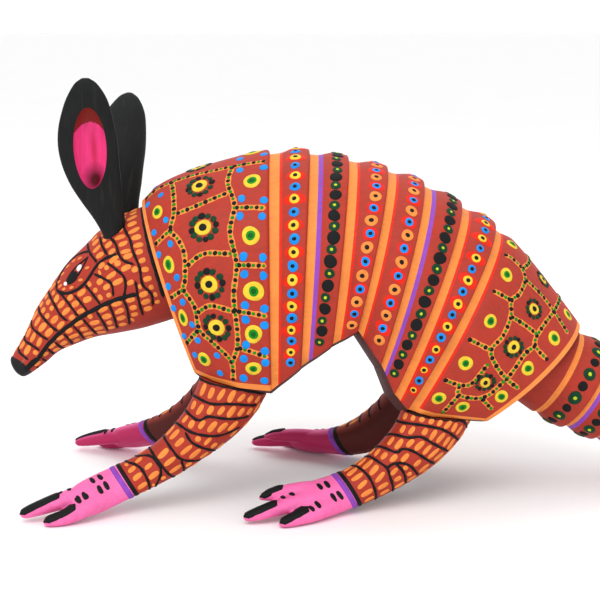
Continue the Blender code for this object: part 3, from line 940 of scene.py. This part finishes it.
def blob(skin, paint, s, angle, long, wide=None, height=0.25, turned=0.0, blunt=1.0):
    """A dab of paint, long along the piece and wide round it, with an uneven outline."""
    wide = long if wide is None else wide
    spot, along, across, _ = skin.frame(s, angle)
    turned += hand.uniform(-6, 6)
    tilt = math.radians(turned)
    along, across = (
        along * math.cos(tilt) + across * math.sin(tilt),
        across * math.cos(tilt) - along * math.sin(tilt),
    )
    phase, lobes = hand.uniform(0, 6.3), hand.uniform(0.02, 0.07)
    size = hand.uniform(0.94, 1.05)
    sides = 12 if max(long, wide) < 1.3 else 24
    rings = []
    for share, rise in ((1.0, None), (1.0, 0.3), (0.9, 0.75), (0.62, 1.0), (0.2, 1.05)):
        ring = []
        for k in range(sides):
            turn = 2 * math.pi * k / sides
            reach = share * size * (1 + lobes * math.sin(2 * turn + phase)
                                    + 0.5 * lobes * math.sin(3 * turn - phase))
            u, v = (math.copysign(abs(t) ** blunt, t) for t in (math.cos(turn), math.sin(turn)))
            p = spot + along * (long * reach * u) + across * (wide * reach * v)
            ring.append(skin.settle(p, ROOTED if rise is None else height * rise))
        rings.append(ring)
    lay(skin, paint, rings)


def path_between(skin, route, pitch):
    """Stations and angles along a smooth route through (station, angle) points."""
    rows = np.array(route, float)
    places = []
    for i in range(len(rows) - 1):
        length = (skin.point(*rows[i]) - skin.point(*rows[i + 1])).length
        count = max(int(length / pitch), 1)
        places += [tuple(spline(rows, i + k / count)) for k in range(count)]
    return places + [tuple(rows[-1])]


def stroke(skin, paint, route, wide, height=0.18, taper=1.2, wobble=0.1, looped=False):
    """A brush line along a route, rounded at its ends, or closed where it is looped."""
    places = path_between(skin, route, 0.9)
    if looped:
        places.pop()
    spots = [skin.frame(*place) for place in places]
    total = sum((a[0] - b[0]).length for a, b in zip(spots, spots[1:]))
    gone, last = 0.0, None
    phase = hand.uniform(0, 6.3)
    rings = []
    for i, (spot, _, _, out) in enumerate(spots):
        before, after = spots[max(i - 1, 0)][0], spots[min(i + 1, len(spots) - 1)][0]
        if looped:
            before, after = spots[i - 1][0], spots[(i + 1) % len(spots)][0]
        gone += (spot - last).length if last else 0.0
        last = spot
        side = out.cross(after - before).normalized()
        end = 1.0 if looped else min(gone, total - gone) / taper
        half = wide / 2 * (math.sqrt(max(1 - (1 - min(end, 1.0)) ** 2, 0.0)) * 0.9 + 0.1)
        half *= 1 + wobble * math.sin(gone * 1.1 + phase) + 0.5 * wobble * math.sin(gone * 2.7)
        ring = []
        for share, rise in (
            (-1.0, None), (-1.0, 0.3), (-0.6, 0.9), (0.0, 1.0), (0.6, 0.9), (1.0, 0.3),
            (1.0, None),
        ):
            p = spot + side * half * share
            ring.append(skin.settle(p, ROOTED if rise is None else height * rise))
        rings.append(ring)
    lay(skin, paint, rings, looped)


def pitched(skin, s, last, pitch, pitch_end):
    """Angles from the crest to last, a pitch apart in millimetres round the piece."""
    angles, angle, gone = [0.0], 0.0, 0.0
    before = skin.point(s, angle)
    while angle < last:
        angle += 0.5
        here = skin.point(s, angle)
        gone += (here - before).length
        before = here
        if gone >= pitch + (pitch_end - pitch) * angle / last and angle <= last:
            angles.append(angle)
            gone = 0.0
    return angles


def both(angle):
    """The angle on both sides of the figure, or once on its crest."""
    return (angle, -angle) if abs(angle) > 1 else (angle,)


def each_side(rows):
    """Rows that start with station and angle, each followed by its mirror image."""
    for s, angle, *sizes in rows:
        for a in both(angle):
            yield s, a, *sizes


def mirrored(route, side):
    """A route on the left side where side is 1, or the same on the right where it is -1."""
    return [(s, angle * side) for s, angle in route]


def beads(skin, route, size):
    """Alternating black and green beads along a route."""
    places = path_between(skin, route, 0.3)
    pitch = 1.85 * size
    before, gone, number = skin.point(*places[0]), pitch / 2, 0
    for place in places:
        here = skin.point(*place)
        gone += (here - before).length
        before = here
        if gone >= pitch:
            gone = 0.0
            number += 1
            paint, radius = ("ink", 0.97) if number % 2 else ("green", 0.76)
            blob(skin, paint, *place, radius * size * hand.uniform(0.88, 1.1), height=0.42)


# Heights of the layers of paint over the wood, in millimetres.
BORDER, HALO, DISC, EYE = 0.12, 0.14, 0.30, 0.44


def ringed(skin, s, angle, outer, size, centre_size, halo=None):
    """A disc with a black dab on it, some on an oval halo."""
    if halo:
        blob(skin, "flame", s, angle, *halo, height=HALO, blunt=0.8)
    blob(skin, outer, s, angle, size, height=DISC)
    blob(skin, "ink", s, angle, centre_size, height=EYE)


def flower(skin, s, angle, size):
    """A yellow disc with a black eye inside a wreath of dark beads."""
    blob(skin, "yellow", s, angle, size * 0.69, height=DISC)
    blob(skin, "ink", s, angle, size * 0.33, height=EYE)
    here = skin.point(s, angle)
    station_mm = (skin.point(s + 0.1, angle) - here).length / 0.1
    angle_mm = (skin.point(s, angle + 1) - here).length
    count = 12
    for k in range(count):
        turn = 2 * math.pi * (k + hand.uniform(-0.12, 0.12)) / count
        at = s + size * math.cos(turn) / station_mm, angle + size * math.sin(turn) / angle_mm
        paint = "ink" if k % 3 == 0 else "forest"
        blob(skin, paint, *at, size * hand.uniform(0.23, 0.28), height=0.36)


def green_eye(skin, s, angle, long, wide):
    """A yellow disc with a green dab, darker in its middle."""
    for paint, share, height in (
        ("yellow", 1.0, DISC), ("green", 0.58, EYE), ("leaf", 0.36, EYE + 0.1),
    ):
        blob(skin, paint, s, angle, long * share, wide * share, height)


# The shields: borders between the cells, then what is painted in the cells.
SHOULDER_BORDERS = (
    [(1.3, 12), (1.32, 26), (1.25, 39), (1.05, 48), (1.2, 53), (1.3, 61), (1.15, 72),
     (1.0, 77), (1.2, 85), (1.15, 95), (1.45, 100), (1.8, 105), (1.95, 109), (1.85, 117)],
    [(2.45, 17), (2.38, 30), (2.45, 44), (2.35, 56), (2.4, 70), (2.28, 82), (2.25, 95),
     (2.18, 102), (1.95, 109)],
    [(1.3, 40), (1.8, 39), (2.38, 36)], [(1.28, 67), (1.8, 63), (2.34, 65)],
    [(1.2, 88), (1.7, 85), (2.25, 88)],
    [(2.45, 17), (2.94, 19)], [(2.45, 45), (2.94, 48)], [(2.4, 70), (2.94, 72)],
    [(2.3, 88), (2.94, 91)], [(2.2, 102), (2.94, 106)],
    [(0.2, 51), (0.6, 50), (1.05, 48)], [(0.2, 80), (1.0, 77)], [(0.2, 103), (1.15, 95)],
    [(0.2, 10), (1.3, 12), (2.45, 17)],
)
SHOULDER_EYES = (  # station, angle, size along and across
    (0.72, 33, 2.6, 3.5), (0.66, 64, 2.6, 3.9), (0.56, 90, 2.3, 3.5), (0.95, 109, 3.2, 3.2),
    (2.72, 0, 3.6, 3.6), (2.72, 32, 3.7, 3.6), (2.67, 59, 3.8, 3.8), (2.67, 81, 3.8, 3.8),
    (2.6, 97, 3.6, 3.6), (2.52, 110.5, 3.1, 2.8),
)
SHOULDER_FLOWERS = (
    (1.9, 0, 4.6), (1.92, 26, 5.0), (1.88, 51, 5.1), (1.78, 76, 5.2), (1.72, 94, 4.8),
)
BLUE_DOTS = (
    (0.3, 20), (0.95, 21), (0.35, 44), (0.98, 41), (0.3, 57), (0.95, 54.5), (0.3, 74),
    (0.86, 71), (0.2, 85), (0.8, 82.5), (0.25, 99), (0.92, 93), (0.5, 108), (0.95, 100),
    (1.5, 106), (1.42, 114.5), (0.7, 0), (2.55, 9), (2.9, 10),
    (2.55, 22), (2.9, 24), (2.56, 41), (2.9, 44), (2.52, 49.5), (2.87, 51.5), (2.53, 67),
    (2.87, 68.5), (2.52, 74), (2.87, 75.5), (2.48, 86), (2.87, 88), (2.46, 91.5), (2.86, 94),
    (2.4, 101), (2.85, 103.5), (2.3, 106.5), (2.85, 108), (2.2, 115), (2.8, 115.5),
)
HIP_BORDERS = (
    [(9.32, 28), (9.8, 27), (10.0, 32), (10.02, 43), (9.92, 50), (10.1, 57), (10.2, 68),
     (10.15, 77), (10.5, 82), (11.1, 86), (11.7, 88)],
    [(9.38, 53), (9.92, 50)], [(9.85, 27), (9.98, 14), (9.98, 0)],
    [(10.0, 32), (10.6, 30), (11.2, 32), (11.72, 35)],
    [(11.1, 0), (11.05, 16), (11.0, 32), (10.95, 46), (10.98, 57), (11.2, 61), (11.68, 62)],
    [(10.1, 57), (10.55, 55), (10.95, 54)],
    [(11.1, 60), (11.0, 68), (11.05, 77), (11.1, 86)], [(9.42, 79), (10.15, 77)],
    [(9.45, 100), (10.0, 99), (10.3, 96), (10.32, 84)],
    [(10.0, 99), (10.22, 104), (10.8, 103), (11.05, 98), (11.08, 88)],
    [(10.22, 104), (10.2, 116)], [(10.95, 102), (11.65, 108)],
)
HIP_EYES = (
    (9.46, 13), (9.54, 40), (9.7, 66), (9.74, 89), (9.7, 109), (11.45, 18), (11.42, 47),
    (11.38, 74), (11.44, 97), (10.65, 110.5),
)
HIP_FLOWERS = ((10.45, 14, 3.3), (10.52, 43, 3.6), (10.62, 69, 3.7), (10.64, 93, 3.4))


def paint_shields(skin):
    shields = (SHOULDER_BORDERS, 2.4, 1.0), (HIP_BORDERS, 2.3, 0.94)
    for routes, wide, _ in shields:
        for route in routes:
            for side in (1, -1):
                placed = mirrored(route, side)
                stroke(skin, "tan", placed, wide, height=BORDER, taper=0.8, wobble=0.08)
    for routes, _, size in shields:
        for route in routes:
            for side in (1, -1):
                beads(skin, mirrored(route, side), size)
    for row in each_side(SHOULDER_EYES):
        green_eye(skin, *row)
    for at in each_side(HIP_EYES):
        green_eye(skin, *at, 2.9, 2.9)
    for row in each_side(SHOULDER_FLOWERS + HIP_FLOWERS):
        flower(skin, *row)
    for s, angle in each_side(BLUE_DOTS):
        wide = 1.45 if s < 1.6 else 1.75
        blob(skin, "blue", s, angle, wide * 0.92, wide, height=DISC)


BANDS = {  # kind of dots, then their pitch and their station at the crest and low down
    3: ("yellow", (6.3, 4.5), (3.62, 3.62)), 4: ("disc", (4.7, 4.3), (4.68, 4.54)),
    5: ("tan", (6.2, 5.0), (5.68, 5.66)), 6: ("tan", (6.2, 5.0), (6.70, 6.68)),
    7: ("disc", (4.7, 4.3), (7.70, 7.62)), 8: ("yellow", (5.6, 4.5), (8.66, 8.66)),
}


def paint_bands(skin):
    """One row of dots on each band, from the crest down both flanks."""
    for band, (kind, pitch, (high_at, low_at)) in BANDS.items():
        last_band = band == HIP_START - 1
        for number, angle in enumerate(pitched(skin, high_at, 114.5, *pitch)):
            low = smooth((angle - 70) / 50)
            s = high_at + (low_at - high_at) * low
            room = (skin.point(band + 0.9, angle) - skin.point(s, angle)).length
            for a in both(angle):
                at = s + hand.uniform(-0.02, 0.02), a
                if kind == "disc" and number % 2:
                    blob(skin, "ink", *at, 2.55 - 0.3 * low, height=DISC)
                elif kind == "disc":
                    blob(skin, "forest", *at, 2.1 - 0.2 * low, height=DISC + 0.02)
                    blob(skin, "lime", *at, 0.68, height=EYE)
                elif kind == "yellow" and number % 2 == 0:
                    more = 1.0 - 0.5 * low if last_band else 0.3
                    halo = (min(5.6 - 1.6 * low, room + more), 2.5 - 0.4 * low)
                    size = (1.95 if last_band else 2.3) - 0.7 * low
                    ringed(skin, *at, "yellow", size, 1.0 - 0.2 * low, halo)
                elif kind == "tan" and number % 2:
                    ringed(skin, *at, "tan", 2.5 - 0.3 * low, 1.05 - 0.1 * low)
                elif kind == "tan":
                    halo = (min(4.7 - 1.2 * low, room), 2.6 - 0.4 * low)
                    ringed(skin, *at, "blue", 1.8, 0.9, halo)
                else:
                    size = 1.8 if last_band else 2.15 - 0.2 * low
                    ringed(skin, *at, "blue", size, 0.9)


def crossing(line, angle):
    """Where a line of (station, angle) points crosses that angle, or None."""
    for (s0, a0), (s1, a1) in zip(line, line[1:]):
        if min(a0, a1) <= angle <= max(a0, a1) and a0 != a1:
            return s0 + (s1 - s0) * (angle - a0) / (a1 - a0)
    return None


def stippled(skin, lines, side, angles, ends, long, wide, pitch, rows):
    """Tan dabs that fill the cells between the black lines, in staggered rows.

    ends(angle) gives the stations between which they lie at that angle.
    """
    between, least = 1.3, 0.7  # the bare wood between two dabs, and half a dab at least
    walls = np.array([
        skin.point(s, a * side) for line in lines for s, a in path_between(skin, line, 0.8)
    ])
    taken = [(1e6, 0, 0)]  # the dabs' middles, after one that is far from all
    for angle in angles:
        first, last = ends(angle)
        cuts = sorted(c for c in (crossing(line, angle) for line in lines) if c)
        cuts = [first] + [c for c in cuts if first < c < last] + [last]
        for s0, s1 in zip(cuts, cuts[1:]):
            gap = (skin.point(s1, angle * side) - skin.point(s0, angle * side)).length
            count = max(round(gap / pitch), 1)
            length = min(long, (gap / count - between) / 2)
            if length < least:
                continue
            for k in range(count):
                s = s0 + (s1 - s0) * (k + 0.5) / count
                spot, along, across, _ = skin.frame(s, angle * side)
                fits = [
                    size for size in (length, length * 0.75, length * 0.55)
                    if not crowded(spot, along, across, walls, size + 0.6, wide + 0.35)
                ]
                apart = 2 * length + 0.8, rows
                if not fits or crowded(spot, along, across, np.array(taken), *apart):
                    continue
                taken.append(tuple(spot))
                blob(
                    skin, "tan", s, angle * side, fits[0] * hand.uniform(0.92, 1.06),
                    wide * hand.uniform(0.88, 1.12), 0.2, hand.uniform(-6, 6), 0.8,
                )


def crowded(spot, along, across, others, far, near):
    """Whether any of the others is inside an oval round the spot."""
    gaps = others - np.array(spot)
    u, v = gaps @ np.array(along) / far, gaps @ np.array(across) / near
    return bool((u * u + v * v < 1).any())


HEAD_LINES = (
    [(1.55, 20), (1.5, 46), (1.68, 90)], [(1.95, 10), (1.95, 40), (2.2, 75), (2.38, 99)],
    [(2.6, 12), (2.58, 43), (2.8, 74), (3.08, 99)],
    [(3.25, 14), (3.24, 39), (3.48, 73), (3.78, 97)],
    [(3.95, 12), (4.0, 30), (4.1, 52), (4.22, 77), (4.42, 91)],
    [(4.42, 38), (4.68, 64), (4.82, 81), (4.94, 95)], [(5.1, 67), (5.28, 81), (5.4, 93)],
    [(5.72, 64), (5.86, 76), (6.0, 91)], [(6.16, 59), (6.42, 69), (6.62, 78), (6.54, 89)],
    [(6.68, 58), (6.9, 69), (7.04, 77), (7.02, 84), (6.84, 95)],
    [(6.86, 29), (7.06, 45), (7.08, 56), (7.16, 64), (7.4, 71)],
    [(7.42, 20), (7.38, 32), (7.46, 48), (7.46, 60), (7.5, 75), (7.44, 89), (7.56, 103),
     (7.48, 118)],
    [(6.16, 7), (6.22, 32), (6.38, 51)], [(6.64, 22), (6.66, 37), (6.76, 52)],
    [(1.72, 142), (1.74, 160)], [(2.2, 124), (2.2, 158)], [(2.78, 118), (2.8, 158)],
    [(3.32, 115), (3.44, 158)], [(3.98, 108), (4.04, 129), (4.02, 153)],
    [(4.54, 105), (4.64, 127), (4.6, 152)], [(5.06, 102), (5.16, 122), (5.24, 148)],
    [(5.74, 98), (5.78, 119), (5.72, 142)], [(6.3, 96), (6.26, 115), (6.12, 140)],
    [(6.8, 96), (6.8, 111), (6.62, 138)], [(7.3, 84), (7.22, 101), (7.14, 128)],
)
MOUTH = [
    (1.6, 112), (1.8, 116), (2.4, 112), (3.1, 108), (3.88, 102), (4.52, 100), (5.04, 98),
    (5.6, 95), (6.08, 93), (6.56, 94), (6.98, 96), (7.22, 97),
]
EYE_OUTLINES = (
    [(4.4, 37), (4.5, 46), (4.72, 56), (5.0, 62), (5.4, 64), (5.75, 62), (6.05, 58),
     (6.3, 54), (6.6, 53), (7.05, 56)],
    [(4.4, 37), (4.5, 27), (4.8, 16), (5.15, 11), (5.6, 13), (5.95, 21), (6.22, 30)],
)
MOUTH_END = [(1.3, 120), (1.55, 113), (2.1, 115)]
LASHES = [(5.1, 40), (5.6, 36), (6.15, 36)], [(6.15, 36), (5.85, 43), (5.5, 50)]
EYE_DABS = (
    (4.62, 40), (4.6, 30), (4.85, 24), (5.15, 20), (5.5, 21), (5.8, 27), (4.75, 50),
    (5.1, 57), (5.6, 56), (6.0, 48),
)
NECK_LINE = [(7.9, 4), (7.9, 37), (7.86, 67), (7.84, 90), (7.8, 112)]


def paint_head(skin):
    lines = [*HEAD_LINES, MOUTH, NECK_LINE, *EYE_OUTLINES]
    strokes_of_black = (  # routes, width, height, wobble
        (HEAD_LINES, 1.1, 0.3, 0.14), ([MOUTH], 1.9, 0.32, 0.06),
        ([MOUTH_END], 2.7, 0.32, 0.1), ([NECK_LINE], 1.5, 0.3, 0.1),
        (EYE_OUTLINES, 1.35, 0.3, 0.08),
    )
    for side in (1, -1):
        for routes, wide, height, wobble in strokes_of_black:
            for route in routes:
                placed = mirrored(route, side)
                stroke(skin, "ink", placed, wide, height=height, wobble=wobble)
        blob(skin, "ink", 5.25, 46 * side, 3.3, 2.5, height=0.34)
        for route in LASHES:
            stroke(skin, "ink", mirrored(route, side), 0.9, height=0.3)
        blob(skin, "white", 4.9, 46 * side, 0.95, height=0.5)
        blob(skin, "white", 5.7, 41 * side, 1.6, 1.15, height=0.5, turned=30)
        for s, angle in mirrored(EYE_DABS, side):
            blob(skin, "tan", s, angle, 1.15, 0.6, height=0.2, turned=-20 * side)
        for angles, ends in ((range(4, 158), front_of_eye), (range(4, 62), behind_eye)):
            stippled(skin, lines, side, angles, ends, 2.3, 1.15, 5.0, 3.45)


def front_of_eye(angle):
    """Stations between which dabs lie on the muzzle, and below the eye as far as the neck."""
    low = 7.75 if angle < 116 else max(7.75 - (angle - 116) / 17, 4.2)
    return nose_end(angle) + 0.1, 4.5 if angle < 62 else low


def behind_eye(_):
    return 6.3, 7.8


FRONT_LINES = (
    [(2.0, 115), (1.9, 60), (1.7, 25), (1.5, -49)],
    [(2.9, 120), (2.7, 46), (2.3, 11), (2.1, -10), (1.9, -45)],
    [(3.6, 118), (3.5, 46), (3.1, 28), (2.75, -5), (2.3, -45)],
    [(4.2, 118), (4.0, 48), (3.7, 10), (3.3, -20), (2.75, -45)],
    [(4.1, 50), (4.15, 18), (3.9, -34), (3.8, -60)],
    [(4.8, 118), (4.8, 44), (4.75, 6), (4.35, -45)], [(4.78, 5), (4.95, -50)],
    [(5.55, 120), (5.45, 48), (5.35, -29), (5.3, -60)],
    [(6.2, 120), (5.65, 77), (5.5, 36), (5.6, 10), (6.0, -19), (6.1, -50)],
    [(6.7, 115), (6.3, 66), (6.25, 17), (6.35, -40)],
)
REAR_LINES = (
    [(2.2, 115), (2.2, 63), (1.7, 9), (1.55, -25), (1.65, -60)],
    [(2.9, 118), (2.8, 76), (2.3, 24), (2.1, -5), (2.1, -55)],
    [(3.7, 118), (3.2, 51), (2.8, 26), (2.7, 1), (2.55, -50)],
    [(4.3, 118), (3.85, 46), (3.55, 37), (3.3, 12), (3.1, -50)],
    [(4.85, 118), (4.6, 63), (4.45, 33), (4.55, 7), (4.7, -50)],
    [(4.45, 33), (4.1, 27), (3.75, 2), (3.7, -45)], [(4.1, 27), (4.05, 1), (4.2, -45)],
    [(5.6, 118), (5.35, 64), (5.3, 27), (5.4, -50)],
)
# Pairs of black toe marks: which toe (None is the foot itself), then two places.
FRONT_MARKS = (
    (None, (9.1, 83), (9.55, 80)), (None, (7.95, 80), (8.3, 78)),
    (None, (7.95, 118), (8.3, 122)), (0, (1.2, 104), (1.46, 108)),
    (1, (1.04, 108), (1.34, 108)),
)
REAR_MARKS = (
    (None, (7.2, 103), (7.5, 105)), (None, (6.98, 57), (7.28, 59)),
    (1, (0.95, 108), (1.24, 108)), (2, (1.1, 72), (1.42, 66)),
)


def paint_leg(front, leg, rows, toes, side):
    base_rows = FRONT_LEG if front else REAR_LEG

    def skin_of(middles):
        return Skin(lambda s, angle: limb_point(middles, s, angle, side), leg)

    def ends(angle):
        return 1.2, cuff_station(base_rows, angle, -0.15)

    skin = skin_of(rows)
    lines = []
    for route in FRONT_LINES if front else REAR_LINES:
        first, angle = route[0]
        over = [(first + 0.05, angle + 28)] if angle > 100 else []  # on the inner side
        lines.append(over + route)
    for line in lines:
        stroke(skin, "ink", line, 1.1, height=0.3, wobble=0.14)
    for paint, lag, wide in (("ink", 0.0, 1.8), ("violet", 0.25, 2.2)):
        cuff = [(cuff_station(base_rows, a, lag), a) for a in range(0, 361, 12)]
        stroke(skin, paint, cuff, wide, height=0.26, wobble=0.0, looped=True)
    angles, apart = range(-76, 150 if front else 132), 3.9 if front else 3.6
    stippled(skin, lines, 1, angles, ends, 2.7, 1.1, 6.8, apart)
    toe_skins = [skin_of(toe) for toe in toes]
    for which, *places in FRONT_MARKS if front else REAR_MARKS:
        for place in places:
            on = skin if which is None else toe_skins[which]
            blob(on, "ink", *place, 0.95, 2.2, height=0.3, blunt=0.85)
    for toe, toe_skin in zip(toes, toe_skins):
        end, wide = (2.95, 4.6) if len(toe) == 4 else (3.95, 5.8)
        claw = [(1.5, 86), (2.3, 76), (end - 0.6, 64), (end, 56)]
        stroke(toe_skin, "ink", claw, wide, height=0.6, taper=1.7, wobble=0.02)


def paint_tail(skin):
    for ring in range(1, len(TAIL) - 1):
        size = spline(TAIL, ring + 0.5)[2] / TAIL[0][2]
        s, pitch = ring + 0.56, 5.2 * size + 0.3
        for number, angle in enumerate(pitched(skin, s, 172.0, pitch, pitch)):
            for a in both(angle):
                if number % 2 == 0:
                    blob(skin, "forest", s, a, 2.7 * size, height=DISC)
                    blob(skin, "lime", s, a, 0.85 * size, height=EYE)
                else:
                    blob(skin, "ink", s, a, 2.0 * size, height=DISC)


# ----------------------------------------------------------------------- assembly


def trunk_block():
    """The trunk's shape, wider but with a shallower belly, which the legs stop at."""
    stations = sorted([k * 0.2 for k in range(61)] + [k - 0.01 for k in range(3, 11)])
    angles = full_turn(6)
    rings = [
        [trunk_point(s, a, 4.0 if abs(a) <= ARCH else -0.4) for a in angles] for s in stations
    ]
    return skinned("trunk_space", rings, [ground["terracotta"]])


def socketed(obj, start, end, radius):
    """Bores a peg's socket, bare wood inside."""
    combined(obj, [rod("socket", start, end, radius + GAP)], "DIFFERENCE")


trunk, head, tail = build_trunk(), build_head("head_wood", 0.0, 2), build_tail()
trunk_skin = Skin(trunk_point, trunk)
paint_shields(trunk_skin)
paint_bands(trunk_skin)
paint_head(Skin(head_point, head))
paint_tail(Skin(tail_point, tail, "tail_piece"))

made = {}  # node: the piece that replaces it, its body and its material slot
space = trunk_block()
for where, rows, toes in (("front", FRONT_LEG, FRONT_TOES), ("rear", REAR_LEG, REAR_TOES)):
    for word, side in (("left", LEFT), ("right", RIGHT)):
        name = f"{where}_{word}_leg"
        leg, *middles = build_leg(name, rows, toes, side, space)
        paint_leg(where == "front", leg, *middles, side)
        made[name] = leg, "figure", "painted_wood"
bpy.data.objects.remove(space)

middle, slide = Vector((TAIL[0][0], 0.0, TAIL[0][1])), Vector((1.0, 0.0, 0.0))
reach = middle - slide * TAIL_PEG_LENGTH
combined(tail, [rod("peg", reach, middle + slide * PEG_HOLD, TAIL_PEG_RADIUS)], "UNION")
socketed(trunk, reach - slide, middle + slide * 12, TAIL_PEG_RADIUS)
for name, (root, *_, body) in EARS.items():
    made[name] = build_ear(name), body, "black_paint"
    place = ear_frames(name)[0]
    start, end = place @ Vector((0, 0, -EAR_PEG_LENGTH - 1)), place @ Vector((0, 0, 12))
    socketed(head, start, end, EAR_PEG_RADIUS)
for obj in (tail, trunk, head):
    finish_mesh(obj.data)
made["trunk"] = trunk, "figure", "painted_wood"
made["head"] = head, "figure", "painted_wood"
made["tail"] = tail, "tail_piece", "painted_wood"
for node_name, (obj, body, slot) in made.items():
    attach(obj, body)
    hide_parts(node_name)

used = dict.fromkeys(paint for _, paint in strokes)
dab = {paint: dab_paint(f"dab_{paint}", *PAINTS[paint]) for paint in used}
for (body, paint), (points, faces) in strokes.items():
    marks = piece(f"paint_{paint}_{body}", points, faces, [dab[paint]], sharp=70)
    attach(marks, body)

for name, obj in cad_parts.items():
    if name.endswith("_dowel"):
        for material_slot in obj.material_slots:
            material_slot.link = "OBJECT"
            material_slot.material = wood


# -------------------------------------------------------------- floor, light, camera


def aimed(obj, aim):
    """Points a light or the camera at a place."""
    way = Vector(aim) - obj.location
    obj.rotation_euler = way.to_track_quat("-Z", "Y").to_euler()


def area_light(name, place, aim, size, watts):
    lamp = bpy.data.lights.new(name, "AREA")
    lamp.size, lamp.energy = size, watts
    obj = linked(name, lamp)
    obj.location = place
    aimed(obj, aim)


def stage_and_camera():
    """A wide pale floor under soft light, seen from the left and a little above."""
    half = 12.0
    mesh = bpy.data.meshes.new("floor")
    corners = [(-half, -half, 0), (half, -half, 0), (half, half, 0), (-half, half, 0)]
    mesh.from_pydata(corners, [], [(0, 1, 2, 3)])
    mesh.materials.append(floor_paper())
    floor = linked("floor", mesh)
    floor.location.z = -0.0003

    world = bpy.data.worlds.new("white room")
    world.use_nodes = True
    sky = world.node_tree.nodes["Background"].inputs
    sky["Color"].default_value = (1.0, 1.0, 1.0, 1.0)
    sky["Strength"].default_value = 1.06
    bpy.context.scene.world = world
    area_light("key", (-0.35, -0.75, 0.95), (-0.03, 0, 0.06), 0.8, 6.5)
    area_light("fill", (0.7, -0.5, 0.5), (0.0, 0, 0.06), 0.8, 0.6)
    area_light("top", (0.0, 0.35, 1.0), (0.0, 0, 0.08), 0.7, 1.5)
    bpy.context.scene.view_settings.view_transform = "Standard"

    lens = bpy.data.cameras.new("camera")
    lens.lens, lens.sensor_width = 90.0, 36.0
    camera = linked("camera", lens)
    aim, distance, lift = Vector((-0.0441, 0.0, 0.080)), 0.630, math.radians(11.0)
    camera.location = aim + Vector((0, -math.cos(lift), math.sin(lift))) * distance
    aimed(camera, aim)
    bpy.context.scene.camera = camera


stage_and_camera()
